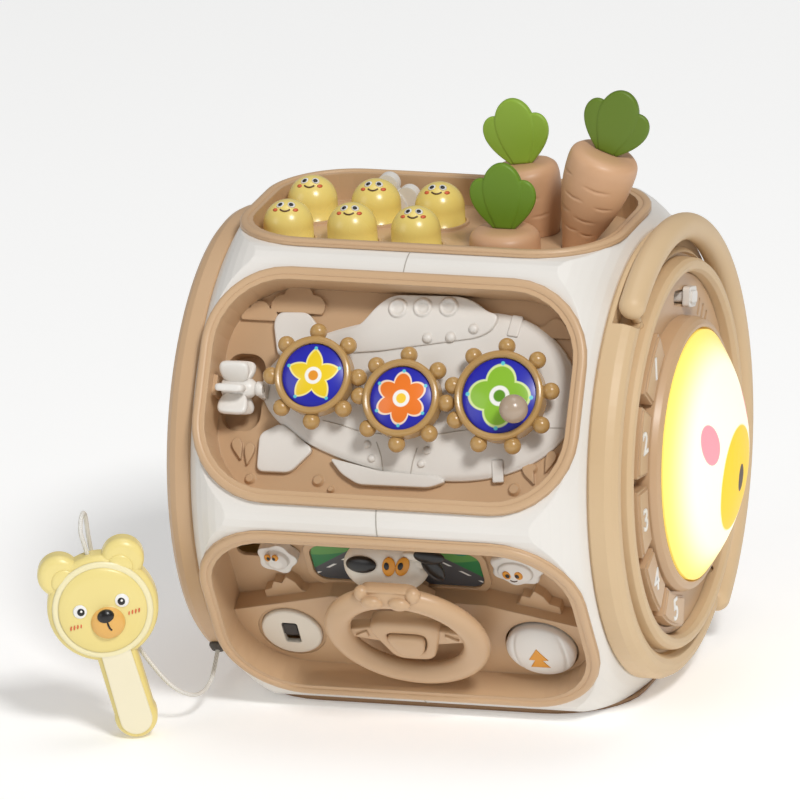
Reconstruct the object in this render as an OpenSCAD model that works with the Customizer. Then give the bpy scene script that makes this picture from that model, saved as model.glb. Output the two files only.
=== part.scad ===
// Hexagonal baby activity drum with pop-up moles, gears, steering wheel, keys and a corded mallet.
// Millimetres, up is +Z, drum axis along X, the viewer is on the -Y side.

/* [Body] */
// Distance across two opposite flat faces
body_flats = 230; // [210:1:250]
// Rounding radius of the six long edges
edge_round = 18; // [12:1:24]
// White land between a tray rim and each end of the shell
tray_land = 2.5; // [1.5:0.5:6]
// Radius of the shell at its two ends
shell_end_r = 110; // [108:0.5:112]
// Shell wall thickness
shell_wall = 2.6; // [2:0.1:3.4]

/* [Trays] */
// Length of a tray rim along the drum axis
tray_w = 195; // [191:1:196]
// Length of a tray rim around the drum
tray_l = 117; // [114:1:120]
// Corner radius of a tray rim
tray_corner = 41; // [40:0.5:43]
// Height of a tray rim above the shell face
rim_h = 2.5; // [1.5:0.1:3.5]
// Width of a tray rim
rim_w = 6.5; // [6:0.1:7]
// Tray wall and floor thickness
tray_wall = 2; // [1.6:0.1:2.4]
// Floor depth of the top tray below the face
top_depth = 11.5; // [10:0.5:13]
// Floor depth of the gear tray below the face
gear_depth = 20; // [19:0.5:22]
// Floor depth of the driving tray below the face
drive_depth = 24; // [23:0.5:26]
// Depth of the dashboard below the face
dash_depth = 13; // [12.5:0.1:13.5]

/* [Moles] */
// Radius of a mole
mole_r = 12.2; // [11.5:0.1:12.6]
// Height of a mole above the tray floor
mole_h = 21; // [19:0.5:24]
// Press travel of a mole
mole_travel = 9; // [6:0.5:10]
// Pitch of the mole columns
mole_pitch = 32.5; // [32:0.1:33]
// Distance between the two mole rows
mole_rows = 39; // [36:0.5:40]

/* [Carrots] */
// Greatest radius of a carrot
carrot_r = 18; // [17:0.1:18.5]
// Length of a carrot
carrot_len = 64; // [61:0.5:66]
// Height of the front carrot above the tray floor
front_rise = 13.4; // [12.5:0.1:15]
// Height of the back carrot along its lean above the tray floor
back_rise = 34.4; // [32:0.2:37]
// Height of the right carrot along its lean above the tray floor
right_rise = 52; // [49:0.5:54]
// Lean of the back carrot to the left
back_lean = 8; // [5:0.5:9]
// Lean of the right carrot to the right
right_lean = 20; // [17:0.5:21]

/* [Gears] */
// Ball centre radius of the eight ball gears
gear_ball_ring = 22; // [21.6:0.1:22.2]
// Ball radius of the gears
gear_ball_r = 4.2; // [3.8:0.1:4.3]
// Pitch radius of the eight ball gears
gear_pitch_r = 23.2; // [23:0.1:23.6]
// Number of balls on the two small gears
small_balls = 8;
// Number of balls on the large gear
large_balls = 9;
// Radius of the gear posts
post_r = 4; // [3.5:0.1:4.5]

/* [Wheel] */
// Centre line radius of the steering wheel rim
wheel_r = 34.5; // [33:0.5:34.5]
// Half width of the steering wheel rim
wheel_tube = 6.6; // [5.6:0.1:6.9]
// Half thickness of the steering wheel rim
wheel_thick = 5; // [4.4:0.1:5.6]
// Lean of the steering wheel towards the lower edge of its tray
wheel_lean = 10; // [7:0.5:11]

/* [Right end] */
// Outer radius of the end rings
ring_r = 110; // [108:0.5:110.5]
// Distance from the ring edge to the drum dome
dome_inset = 49; // [48.5:0.5:51]
// Height of the drum dome
dome_h = 21; // [17:0.5:23]
// Distance from the ring edge to the keys
key_inset = 26; // [25.5:0.1:27]
// Length of a key towards the drum axis
key_len = 15; // [14.5:0.1:15.5]
// Angle covered by one key
key_span = 24; // [22:0.5:25]
// Tube radius of the carry handle
handle_tube = 6.6; // [6:0.1:7]

/* [Mallet] */
// Radius of the mallet head
head_r = 27; // [25:0.5:28]
// Thickness of the mallet
mallet_t = 15; // [13:0.5:18]
// Length of the mallet handle below the head centre
grip_len = 68.5; // [65:0.5:72]
// Radius of the mallet grip end
grip_r = 10.5; // [9.5:0.1:11.5]
// Diameter of the mallet cord
cord_d = 2.2; // [1.8:0.1:2.6]

/* [Clearance] */
// Gap between moving pieces
move_gap = 0.5; // [0.4:0.05:0.6]
// Running clearance of shafts in bores
run_gap = 0.08; // [0.05:0.01:0.1]
// Slip clearance of seated pieces
slip_gap = 0.2; // [0.15:0.05:0.3]

/* [Hidden] */
$fn = 64;
// The body grows when longer trays need more room between its edges
edge_land = 6.5;
flat_r = max(body_flats / 2, (tray_l / 2 + edge_land) / tan(30));
shell_half = tray_w / 2 + tray_land;
// Things in the trays keep their share of the tray width
kx = tray_w / 195;
axis_z = flat_r + rim_h;
corner_r = (flat_r - edge_round) / cos(30);
round_r = 36;
round_r_mid = corner_r + edge_round + 1.2;
open_cut = 4;
tub_in = rim_w;
tub_out = rim_w - tray_wall;
in_w = tray_w - 2 * tub_in;
in_l = tray_l - 2 * tub_in;
in_r = tray_corner - tub_in;
mole_x = kx * [-75, -75 + mole_pitch, -75 + 2 * mole_pitch];
mole_y = [2.5 - mole_rows / 2, 2.5 + mole_rows / 2];
floor_under = top_depth + tray_wall;
sleeve_len = 24;
flange_r = mole_r + 1.7;
cup_pos = [[36 * kx, -20], [38.7 * kx, 19], [66 * kx, -2]];
carrot_lean = [0, -back_lean, right_lean];
// Height of each carrot top above the tray floor, measured along its own axis
carrot_rise = [front_rise, back_rise, right_rise];
small_pitch_r = gear_pitch_r * kx;
small_ball_ring = gear_ball_ring * kx;
gear_lobe_r = gear_ball_r * kx;
large_pitch_r = small_pitch_r * large_balls / small_balls;
large_ball_ring = (gear_ball_ring + 3) * kx;
gear_mid = [6 * kx, -3];
dir_left = 169;
dir_right = 4.5;
gear_lft = gear_mid + 2 * small_pitch_r * [cos(dir_left), sin(dir_left)];
gear_rgt = gear_mid + (small_pitch_r + large_pitch_r) * [cos(dir_right), sin(dir_right)];
phase_lft = 2;
line_lm = dir_left + 180;
phase_mid = line_lm + 180 + (180 - (phase_lft - line_lm) * small_balls) / small_balls;
phase_rgt = dir_right + 180 + (180 - (phase_mid - dir_right) * small_balls) / large_balls;
gear_low = -8;
wheel_c = [2.7 * kx, -9];
wheel_z = 3;
horn_y = -4.5;
disc_c = [-64 * kx, -30];
disc_r = 15.2;
shell_c = [63 * kx, -31];
shell_r = 17.6;
ring_x0 = shell_half;
handle_ang = 58;
handle_c = ring_r + 0.5;
handle_x = ring_x0 + 11.5;
dome_r = ring_r - dome_inset;
key_out = ring_r - key_inset;
key_in = key_out - key_len;
key_mid = (key_in + key_out) / 2;
ring_in = ring_r - 24;
plate_r = ring_r - 22.2;
plate_x = ring_x0 + 8;
plate_t = 4;
key_top = ring_x0 + 19;
dome_x = ring_x0 + 24;
key_ang = [50, 21.5, -7, -35.5, -64];
mallet_tip = [-126.4, -123.5, 1];
mallet_yaw = 18.2;
mallet_tilt = 13.5;

function arc_pts(cx, cy, r, a0, a1, n) =
  [for (i = [0:n]) [cx + r * cos(a0 + (a1 - a0) * i / n), cy + r * sin(a0 + (a1 - a0) * i / n)]];

function rr_pts(w, l, r, n) = concat(
  arc_pts(w / 2 - r, l / 2 - r, r, 0, 90, n),
  arc_pts(-w / 2 + r, l / 2 - r, r, 90, 180, n),
  arc_pts(-w / 2 + r, -l / 2 + r, r, 180, 270, n),
  arc_pts(w / 2 - r, -l / 2 + r, r, 270, 360, n));

function hex_pts(inset) = [for (k = [0:5]) for (i = [0:5])
  [corner_r * cos(60 * k) + (edge_round - inset) * cos(60 * k - 30 + 12 * i),
   corner_r * sin(60 * k) + (edge_round - inset) * sin(60 * k - 30 + 12 * i)]];

// Puts children on face k of the hexagon: 0 top, 1 upper front, 2 lower front, 3 base
module on_face(k) {
  translate([0, 0, axis_z]) rotate([60 * k, 0, 0]) translate([0, 0, flat_r]) children();
}

// Puts children on the right end: local x is back, local y is up, local z is along the drum axis
module on_end() {
  translate([0, 0, axis_z]) rotate([90, 0, 90]) children();
}

module slab(w, l, r, z0, z1) {
  translate([0, 0, z0]) linear_extrude(z1 - z0) polygon(rr_pts(w, l, r, 8));
}

module bar(a, b) {
  translate(a) cube(b - a);
}

// Profile of the shell end: radius against distance along the axis
function end_arc(inset) =
  let (zc = shell_half - sqrt(round_r * round_r - pow(round_r - (round_r_mid - shell_end_r), 2)))
  arc_pts(round_r_mid - round_r, zc, round_r - inset, 0,
    asin((shell_half - zc) / round_r), 8);

module half_solid(inset, x0, x1) {
  arc = end_arc(inset);
  intersection() {
    translate([x0, 0, 0]) rotate([90, 0, 90]) linear_extrude(x1 - x0) polygon(hex_pts(inset));
    rotate([90, 0, 90]) rotate_extrude($fn = 96)
      polygon(concat([[0, x0]], [[arc[0][0], x0]], arc, [[arc[8][0], x1 + 0.01]], [[0, x1 + 0.01]]));
  }
}

module half_shell() {
  translate([0, 0, axis_z]) {
    difference() {
      half_solid(0, 0, shell_half);
      half_solid(shell_wall, -1, shell_half - shell_wall);
      translate([shell_half - 10, 0, 0]) rotate([0, 90, 0]) cylinder(r = ring_in + 2, h = 20);
      for (k = [0:5]) rotate([60 * k, 0, 0]) translate([0, 0, flat_r])
        slab(tray_w - 2 * open_cut, tray_l - 2 * open_cut, tray_corner - open_cut, -16, 12);
    }
    for (k = [0, 2, 3, 5]) boss_at(k) difference() {
      cylinder(r = 4.5, h = 26);
      translate([0, 0, -1]) cylinder(r = 1.7, h = 40, $fn = 24);
    }
  }
}

module boss_at(k) {
  rotate([60 * k, 0, 0]) translate([0, corner_r + edge_round - shell_wall - 3.8, 0]) rotate([0, 90, 0]) children();
}

module shell_right() {
  color([0.93, 0.91, 0.88]) half_shell();
}

module shell_left() {
  color([0.93, 0.91, 0.88]) mirror([1, 0, 0]) half_shell();
}

// Four screws that hold the two shell halves together
module screws() {
  color([0.62, 0.62, 0.64]) translate([0, 0, axis_z]) for (k = [0, 2, 3, 5]) boss_at(k) {
    translate([0, 0, -26]) cylinder(r = 1.6, h = 46, $fn = 24);
    translate([0, 0, -28.2]) cylinder(r = 3.2, h = 2.2, $fn = 24);
  }
}

module tub(depth) {
  difference() {
    union() {
      slab(tray_w, tray_l, tray_corner, 0, rim_h - 0.8);
      slab(tray_w - 1.6, tray_l - 1.6, tray_corner - 0.8, rim_h - 0.8, rim_h);
      slab(tray_w - 2 * tub_out, tray_l - 2 * tub_out, tray_corner - tub_out, -depth - tray_wall, 0.5);
    }
    slab(in_w, in_l, in_r, -depth, rim_h + 1);
    for (s = [0, 1]) mirror([0, s, 0]) translate([-tray_w, 0, -depth - tray_wall]) rotate([90, 0, 90]) linear_extrude(2 * tray_w)
      polygon([[tray_l / 2 - tub_out - 2.2, 0], [tray_l / 2 - tub_out - 2.2, -1], [tray_l / 2, -1], [tray_l / 2, 1.6],
        [tray_l / 2 - tub_out, 1.6]]);
  }
}

// Keeps children inside the tray walls
module within(z0, z1) {
  intersection() {
    slab(in_w + 1, in_l + 1, in_r + 0.5, z0, z1);
    children();
  }
}

module cloud(x, y, s, z0, h) {
  translate([x, y, z0]) linear_extrude(h) difference() {
    union() {
      translate([-5 * s, 0]) circle(r = 4 * s, $fn = 32);
      translate([0, 2.5 * s]) circle(r = 5.2 * s, $fn = 32);
      translate([5.4 * s, 0.4 * s]) circle(r = 3.8 * s, $fn = 32);
    }
    translate([-12 * s, -6 * s]) square([24 * s, 4 * s]);
  }
}

module top_tray() {
  color([0.78, 0.65, 0.52]) on_face(0) difference() {
    union() {
      tub(top_depth);
      for (x = mole_x) for (y = mole_y) translate([x, y, 0]) {
        translate([0, 0, -top_depth - 0.5]) cylinder(r = mole_r + 1.9, h = 2);
        translate([0, 0, -floor_under - sleeve_len]) cylinder(r = mole_r + 3.9, h = sleeve_len + 1);
      }
      intersection() {
        for (i = [0:2]) carrot_place(i) rotate_extrude() polygon(carrot_pts(slip_gap + 1.8));
        translate([-10, -50, -top_depth - 90]) cube([110, 100, 90 - 0.4]);
      }
      flower_at() for (s = [-1, 1]) translate([0, 0, s * 6.6 - 1.4]) {
        cylinder(r = 4.4, h = 2.8, $fn = 32);
        translate([-4.4, -5, 0]) cube([8.8, 5, 2.8]);
      }
    }
    for (x = mole_x) for (y = mole_y) translate([x, y, 0]) {
      translate([0, 0, -30]) cylinder(r = mole_r + move_gap, h = 40);
      translate([0, 0, -floor_under - sleeve_len - 1]) cylinder(r = flange_r + move_gap, h = sleeve_len + 1);
    }
    for (i = [0:2]) carrot_place(i) rotate_extrude() polygon(carrot_pts(slip_gap + 0.1));
    flower_at() translate([-20, -20, -4.6]) cube([40, 34, 9.2]);
    flower_at() translate([0, 0, -12]) cylinder(r = 2 + run_gap, h = 24, $fn = 32);
  }
}

module flower_at() {
  translate([mole_x[1], mole_y[1] + mole_r + 8.6, -top_depth + 0.6]) rotate([90, 0, 0]) children();
}

module flower_spinner() {
  color([0.95, 0.94, 0.92]) on_face(0) flower_at() {
    translate([0, 0, -7.6]) cylinder(r = 2, h = 13.8, $fn = 32);
    translate([0, 0, -3.5]) cylinder(r = 10, h = 7);
    for (k = [0:5]) rotate([0, 0, 30 + 60 * k]) translate([11.6, 0, -3]) cylinder(r = 5.4, h = 6, $fn = 32);
  }
}

// One mole: dome, plunger and stop flange
module mole(i) {
  x = mole_x[i % 3];
  y = mole_y[floor(i / 3)];
  side = mole_h - mole_r;
  color([0.93, 0.85, 0.5]) on_face(0) translate([x, y, -top_depth]) rotate_extrude()
    polygon(concat([[0, mole_h - 2]], [[0, mole_h]],
      [for (k = [1:7]) [mole_r * sin(12.5 * k), side + mole_r * cos(12.5 * k)]],
      [[mole_r, side]], [[mole_r, -tray_wall - move_gap]], [[flange_r, -tray_wall - move_gap]],
      [[flange_r, -tray_wall - move_gap - 1.6]], [[mole_r - 2, -tray_wall - move_gap - 1.6]],
      [for (k = [7:-1:1]) [(mole_r - 2) * sin(12.5 * k), side + (mole_r - 2) * cos(12.5 * k)]]));
}

module mole_1() { mole(0); }
module mole_2() { mole(1); }
module mole_3() { mole(2); }
module mole_4() { mole(3); }
module mole_5() { mole(4); }
module mole_6() { mole(5); }

// Switch board that closes the six mole sleeves from below and carries the spring seats
module main_board() {
  z0 = -floor_under - sleeve_len;
  color([0.2, 0.42, 0.26]) on_face(0) {
    translate([mole_x[0] - 17, mole_y[0] - 17, z0 - 1.6]) cube([2 * kx * mole_pitch + 34, mole_rows + 34, 1.6]);
    for (x = mole_x) for (y = mole_y) translate([x, y, z0 - 0.5]) cylinder(r = 6, h = 4.5);
    translate([mole_x[0] + 10, mole_y[0] + 12, z0 - 4]) cube([12, 12, 3]);
    translate([mole_x[0] + 40, mole_y[0] + 14, z0 - 5]) cube([16, 9, 4]);
  }
}

spring_r = 11.8;
spring_wire = 0.6;
spring_turns = 5;
spring_rings = 50;
spring_low = -floor_under - sleeve_len + spring_wire;
spring_high = -floor_under - move_gap - 1.6 - spring_wire;
function spring_pt(i, j) =
  let (a = 360 * spring_turns * i / spring_rings, b = 60 * j, rr = spring_r + spring_wire * cos(b))
  [rr * cos(a), rr * sin(a), spring_low + (spring_high - spring_low) * i / spring_rings + spring_wire * sin(b)];

module spring() {
  n = spring_rings;
  polyhedron(
    points = [for (i = [0:n]) for (j = [0:5]) spring_pt(i, j)],
    faces = concat(
      [[0, 1, 2, 3, 4, 5]],
      [for (i = [0:n - 1]) for (j = [0:5]) [6 * i + j, 6 * i + 6 + j, 6 * i + 6 + (j + 1) % 6, 6 * i + (j + 1) % 6]],
      [[6 * n + 5, 6 * n + 4, 6 * n + 3, 6 * n + 2, 6 * n + 1, 6 * n]]));
}
echo(spring_gap = (spring_high - spring_low) / spring_turns - 2 * spring_wire);

module mole_springs() {
  color([0.7, 0.7, 0.72]) on_face(0) for (x = mole_x) for (y = mole_y) translate([x, y, 0]) spring();
}

// Puts children at the top of carrot i with local z along its axis, in the frame of the top face
module carrot_place(i) {
  translate([cup_pos[i][0], cup_pos[i][1], -top_depth]) rotate([0, carrot_lean[i], 0])
    translate([0, 0, carrot_rise[i]]) children();
}

module carrot_at(i) {
  on_face(0) carrot_place(i) children();
}

// Half outline of a carrot, widened by g: the socket uses the same outline
function carrot_pts(g) = let (r = carrot_r, n = carrot_len) [[0, 0], [0.72 * r + g, 0], [0.86 * r + g, -1.2],
  [0.94 * r + g, -3.4], [0.965 * r + g, -7], [0.955 * r + g, -0.19 * n], [0.925 * r + g, -0.28 * n], [0.87 * r + g, -0.37 * n],
  [0.79 * r + g, -0.46 * n], [0.68 * r + g, -0.56 * n], [0.55 * r + g, -0.66 * n], [0.44 * r + g, -0.75 * n],
  [0.36 * r + g, -0.83 * n], [0.29 * r + g, -0.91 * n], [0.2 * r + g, -0.965 * n], [0.1 * r + g, -0.992 * n], [0, -n - g]];

module carrot(i) {
  color([0.76, 0.55, 0.4]) carrot_at(i) difference() {
    rotate_extrude() polygon(carrot_pts(0));
    translate([-5 - slip_gap, -1.7 - slip_gap, -5]) cube([10 + 2 * slip_gap, 3.4 + 2 * slip_gap, 8]);
  }
}

module carrot_front() { carrot(0); }
module carrot_back() { carrot(1); }
module carrot_right() { carrot(2); }

// Teardrop lobe with its tip at the origin
function lobe(w, h) = [for (k = [0:23]) let (a = 15 * k)
  [w * sin(a) * (0.56 - 0.44 * cos(a)) * 0.92, h * (1 - cos(a)) / 2]];

module leaf(i) {
  color([0.45, 0.58, 0.2]) carrot_at(i) rotate([90, 0, 0]) {
    translate([0, 0, -2]) linear_extrude(4) polygon(lobe(17, 33));
    for (s = [-1, 1]) translate([s * 2.4, 1, -1.4]) rotate([0, 0, -30 * s]) linear_extrude(2.8) polygon(lobe(13.5, 26));
    translate([-5, -5, -1.7]) cube([10, 7.5, 3.4]);
  }
}

module leaf_front() { leaf(0); }
module leaf_back() { leaf(1); }
module leaf_right() { leaf(2); }

paddle_c = [-80 * kx, -0.6];
paddle_z = -9;
bracket_x = gear_lft[0] - small_ball_ring - gear_lobe_r - move_gap;
bracket_t = 2.8;

module gear_tray() {
  color([0.78, 0.65, 0.52]) on_face(1) {
    difference() {
      union() {
        tub(gear_depth);
        for (p = [gear_lft, gear_mid, gear_rgt]) translate([p[0], p[1], -gear_depth - 0.5]) {
          cylinder(r = post_r, h = gear_depth - 3.5);
          cylinder(r = post_r + 2.5, h = gear_depth + gear_low + 0.2);
        }
        translate([paddle_c[0], paddle_c[1], 0]) slab(24, 42, 9, -gear_depth - 9, -gear_depth - 0.5);
        translate([0, 0, -gear_depth - 0.5]) within(0, 20) translate([-93 * kx, paddle_c[1] - 5, 0])
          cube([4.2, 10, gear_depth + paddle_z + 5]);
        cloud(-57, 42.5, 1.5, -gear_depth - 0.5, 2.5);
        cloud(-76, 37, 1, -gear_depth - 0.5, 2.5);
        cloud(74, 36, 1, -gear_depth - 0.5, 2.5);
        for (b = [[-37, -42, 3.4], [-71.5, -43, 3], [-30, -46, 2], [70, -30, 3], [62, -41, 3.6]])
          translate([b[0], b[1], -gear_depth - 0.5]) cylinder(r1 = b[2], r2 = b[2] * 0.6, h = 2.6, $fn = 32);
        for (b = [[-77, -34, 20], [-73.5, -36.5, -4], [72, -38, 30], [77, -32, -15]])
          translate([b[0], b[1], -gear_depth - 0.5]) rotate([0, 0, b[2]]) linear_extrude(2.6) polygon(lobe(4, 11));
      }
      translate([paddle_c[0], paddle_c[1], 0]) slab(20, 38, 8, -gear_depth - 7.4, -gear_depth + 1);
      translate([-95 * kx, paddle_c[1], paddle_z]) rotate([0, 90, 0]) cylinder(r = 2 + run_gap, h = 10, $fn = 32);
    }
  }
}

// The hull is a slice of a body of revolution whose axis lies deep below the tray floor
hull_back = -66 * kx;
hull_nose = 86 * kx;
hull_mid = 14 * kx;
hull_high = 7.4;
hull_deep = 92;
function hull_rise(x, h) = let (u = (x - hull_mid) / (x > hull_mid ? hull_nose - hull_mid : hull_mid - hull_back))
  h * max(0, 1 - pow(abs(u), x > hull_mid ? 2.4 : 1.9));
module hull_body(high, back, nose) {
  n = 22;
  on_x = [for (i = [0:n]) let (t = i / n) back + (nose - back) * (0.5 - 0.5 * cos(180 * t))];
  intersection() {
    translate([0, 0, -hull_deep]) rotate([0, 90, 0]) rotate_extrude($fn = 180)
      polygon(concat([[hull_deep - 3, back]], [for (x = on_x) [hull_deep + hull_rise(x, high) * 0.98 + 0.02, x]], [[hull_deep - 3, nose]]));
    translate([back - 1, -60, 0]) cube([nose - back + 2, 120, 30]);
  }
}

function wide(pts) = [for (p = pts) [p[0] * kx, p[1]]];

module airship_panel() {
  z0 = -gear_depth;
  color([0.93, 0.91, 0.88]) on_face(1) difference() {
    union() {
      translate([0, 0, z0]) hull_body(hull_high, hull_back, hull_nose);
      translate([0, 0, z0]) linear_extrude(5.2)
        polygon(wide([[-23, 32], [-17, 42], [-11, 48], [-4, 50], [24, 50.6], [31, 49], [40, 42], [38, 30], [-20, 26]]));
      translate([0, 0, z0]) linear_extrude(3.4)
        polygon(wide([[-30, -31], [-20, -39], [-9, -42], [18, -42.4], [27, -41], [29, -34], [-20, -26]]));
      translate([0, 0, z0]) linear_extrude(3.2)
        polygon(wide([[-66, 21], [-67, 34], [-63, 38], [-51, 38], [-46, 35], [-41, 22], [-54, 17]]));
      translate([0, 0, z0]) linear_extrude(3.2)
        polygon(wide([[-67, -23], [-64, -20], [-54, -16], [-38, -26], [-49, -38], [-53, -40], [-65, -40], [-67, -37]]));
      for (p = wide([[-5.5, 42], [7.5, 43], [20.5, 43.5]])) translate([p[0], p[1], z0 + 5]) difference() {
        cylinder(r = 4.6, h = 1.4, $fn = 40);
        translate([0, 0, 0.4]) cylinder(r = 2.8, h = 2, $fn = 40);
      }
      for (p = wide([[11.5, 29], [23, 30.5], [34, 33.5]]))
        translate([p[0], p[1], z0 + 4]) cylinder(r1 = 2.4, r2 = 1.2, h = 2.8, $fn = 32);
      for (p = wide([[-10.5, -30], [17.5, -25.5], [14.5, -31.5]]))
        translate([p[0], p[1], z0]) cylinder(r1 = 2.8, r2 = 1.2, h = 4.8, $fn = 32);
      translate([51 * kx, 30, z0]) rotate([0, 0, -12]) cube([5, 9, 3.4]);
      translate([50 * kx, -38, z0]) rotate([0, 0, 8]) cube([5, 9, 3.4]);
      translate([bracket_x - bracket_t, paddle_c[1] - 4.5, z0]) cube([bracket_t, 9, paddle_z - z0]);
      translate([bracket_x - bracket_t, paddle_c[1] - 4.5, z0]) cube([hull_back + 15 - bracket_x, 9, 2.4]);
      translate([bracket_x - bracket_t, paddle_c[1], paddle_z]) rotate([0, 90, 0]) cylinder(r = 4.5, h = bracket_t, $fn = 40);
    }
    for (p = [gear_lft, gear_mid, gear_rgt]) translate([p[0], p[1], z0 - 1]) cylinder(r = post_r + 2.5 + slip_gap, h = 12);
    translate([bracket_x - 6, paddle_c[1], paddle_z]) rotate([0, 90, 0]) cylinder(r = 2 + run_gap, h = 12, $fn = 32);
  }
}

module paddle_wheel() {
  color([0.95, 0.94, 0.92]) on_face(1) translate([paddle_c[0], paddle_c[1], paddle_z]) rotate([0, 90, 0]) {
    translate([0, 0, -11 * kx]) cylinder(r = 2, h = 11 * kx + bracket_x - paddle_c[0] - 0.2, $fn = 32);
    translate([0, 0, -7]) cylinder(r = 4.6, h = 14.6, $fn = 40);
    translate([0, 0, 7.6]) cylinder(r1 = 4.6, r2 = 2.6, h = 2.6, $fn = 40);
    for (k = [0:5]) rotate([0, 0, 60 * k + 12]) translate([3.5, -1.6, -7.6]) rotate([90, 0, 0])
      translate([0, 0, -3.2]) linear_extrude(3.2) polygon([[0, 2], [6, 0], [9, 0], [11, 2], [11, 13], [9, 15], [6, 15], [0, 13]]);
  }
}

module ball_gear(pos, ring, balls, phase) {
  r = ring - 2.8;
  color([0.75, 0.6, 0.38]) on_face(1) translate([pos[0], pos[1], 0]) difference() {
    union() {
      rotate_extrude() polygon([[0, gear_low], [r - 1.2, gear_low], [r, gear_low + 1], [r, 0.8], [r - 0.7, 1.8],
        [r - 1.6, 2.2], [r - 2.6, 1.8], [r - 3.4, 0.8], [r - 3.4, -1.2], [0, -1.2]]);
      for (k = [0:balls - 1]) rotate([0, 0, phase + 360 * k / balls]) translate([0, 0, -3.6]) {
        translate([ring, 0, 0]) sphere(r = gear_lobe_r, $fn = 40);
        translate([ring - 5, 0, 0]) rotate([0, 90, 0]) cylinder(r = 3.1, h = 5, $fn = 32);
      }
    }
    translate([0, 0, gear_low - 1]) cylinder(r = post_r + run_gap, h = 5.5);
  }
}

module gear_left() { ball_gear(gear_lft, small_ball_ring, small_balls, phase_lft); }
module gear_middle() { ball_gear(gear_mid, small_ball_ring, small_balls, phase_mid); }
module gear_right() { ball_gear(gear_rgt, large_ball_ring, large_balls, phase_rgt); }

module crank_knob() {
  color([0.66, 0.6, 0.54]) on_face(1) translate([gear_rgt[0] + 11, gear_rgt[1] - 8, -1.2]) {
    cylinder(r = 2.8, h = 8, $fn = 40);
    translate([0, 0, 11]) sphere(r = 7);
  }
}

module dash_block() {
  within(-drive_depth - 0.5, -dash_depth) translate([0, 0, -drive_depth - 1]) linear_extrude(20)
    polygon([[-96, -18], [-64, -9.5], [-40, -3], [0, -1.6], [40, -3], [64, -9.5], [96, -18], [96, -60], [-96, -60]]);
}

module slot_cut(x, y, w, h, z0, z1) {
  translate([x, y, 0]) slab(w, h, h / 2 - 0.1, z0, z1);
}

card_w = 86 * kx;
card_c = [-5 * kx, 11];
card_l = 24;
slider_x = [-64 * kx, 57 * kx];

// Puts children on the leaning steering column: local z is its axis, from the face of the tray
module on_column() {
  translate([wheel_c[0], wheel_c[1], 0]) rotate([wheel_lean, 0, 0]) children();
}

module drive_tray() {
  color([0.78, 0.65, 0.52]) on_face(2) difference() {
    union() {
      tub(drive_depth);
      dash_block();
      translate([card_c[0], card_c[1], 0]) difference() {
        slab(card_w + 7, card_l + 7, 9, -drive_depth - 0.5, -drive_depth + 1.6);
        slab(card_w + 0.6, card_l + 0.6, 7, -drive_depth, -drive_depth + 3);
      }
      for (s = [-1, 1]) translate([s * 63 * kx, -11.6, -drive_depth - 0.5]) linear_extrude(6)
        polygon([[-12, -8], [-12, 4], [-8, 6], [-6, 11], [-2, 10], [1, 15], [5, 11], [7, 6], [12, 4], [12, -8]]);
      on_column() translate([0, 0, -dash_depth - 7.3]) cylinder(r = 11, h = 9.8);
    }
    on_column() translate([0, 0, -drive_depth - 6]) cylinder(r = 7 + run_gap, h = 30);
    translate([disc_c[0], disc_c[1], -dash_depth - 1.2]) cylinder(r = disc_r + slip_gap, h = 20);
    translate([disc_c[0], disc_c[1], -dash_depth - 0.7]) cylinder(r = disc_r + 1.7, h = 20);
    translate([disc_c[0], disc_c[1] - 2, 0]) slab(10, 24, 2, -drive_depth - 3, 0);
    translate([shell_c[0], shell_c[1], -drive_depth - 3]) cylinder(r = shell_r + 0.6, h = 30);
    slot_cut(slider_x[0] - 8, 16, 28, 9, -drive_depth - 3, 0);
    slot_cut(slider_x[1] + 8, 16, 28, 9, -drive_depth - 3, 0);
  }
}

module windscreen_card() {
  color([0.2, 0.5, 0.42]) on_face(2) difference() {
    translate([card_c[0], card_c[1], 0]) slab(card_w, card_l, 6.7, -drive_depth, -drive_depth + 0.8);
    on_column() translate([0, 0, -drive_depth - 6]) cylinder(r = 7.6, h = 12);
  }
}

module driver_head() {
  color([0.95, 0.94, 0.92]) on_face(2) translate([-5 * kx, 24, -drive_depth + 1.6]) {
    for (s = [-1, 1]) translate([6 * s, 0, 0]) rotate_extrude()
      polygon([[0, 0], [12, 0], [14.2, 2.4], [15, 6.4], [15, 11], [14, 15.4], [11.8, 19], [7.6, 21.8], [0, 23]]);
    for (s = [-1, 1]) translate([s * 20, 3, 8]) rotate([0, 0, -14 * s]) slab(15, 10, 4.6, 0, 9);
  }
}

module figure_slider(x, n) {
  color([0.95, 0.94, 0.92]) on_face(2) translate([x, 16, -drive_depth]) {
    translate([0, 0, move_gap]) linear_extrude(5)
      polygon([for (k = [0:47]) let (a = 7.5 * k, r = 9.4 + 0.9 * cos(n * a)) [r * cos(a), r * sin(a)]]);
    translate([0, 0, move_gap + 4.6]) rotate_extrude($fn = 40) polygon([[0, 0], [6.4, 0], [5.6, 2.2], [3.4, 3.4], [0, 3.8]]);
    translate([0, 0, -5]) cylinder(r = 3.6, h = 6, $fn = 40);
    translate([0, 0, -tray_wall - move_gap - 2]) cylinder(r = 6.4, h = 2, $fn = 40);
  }
}

module left_slider() { figure_slider(slider_x[0], 5); }
module right_slider() { figure_slider(slider_x[1], 7); }

module switch_plate() {
  color([0.93, 0.89, 0.8]) on_face(2) translate([disc_c[0], disc_c[1], 0]) difference() {
    translate([0, 0, -dash_depth]) rotate_extrude()
      polygon([[0, -1.2], [disc_r, -1.2], [disc_r, 0.3], [disc_r - 0.3, 0.9], [disc_r - 1, 1.3], [0, 1.5]]);
    slab(8, 14, 1.5, -dash_depth - 4, 0);
  }
}

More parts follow.
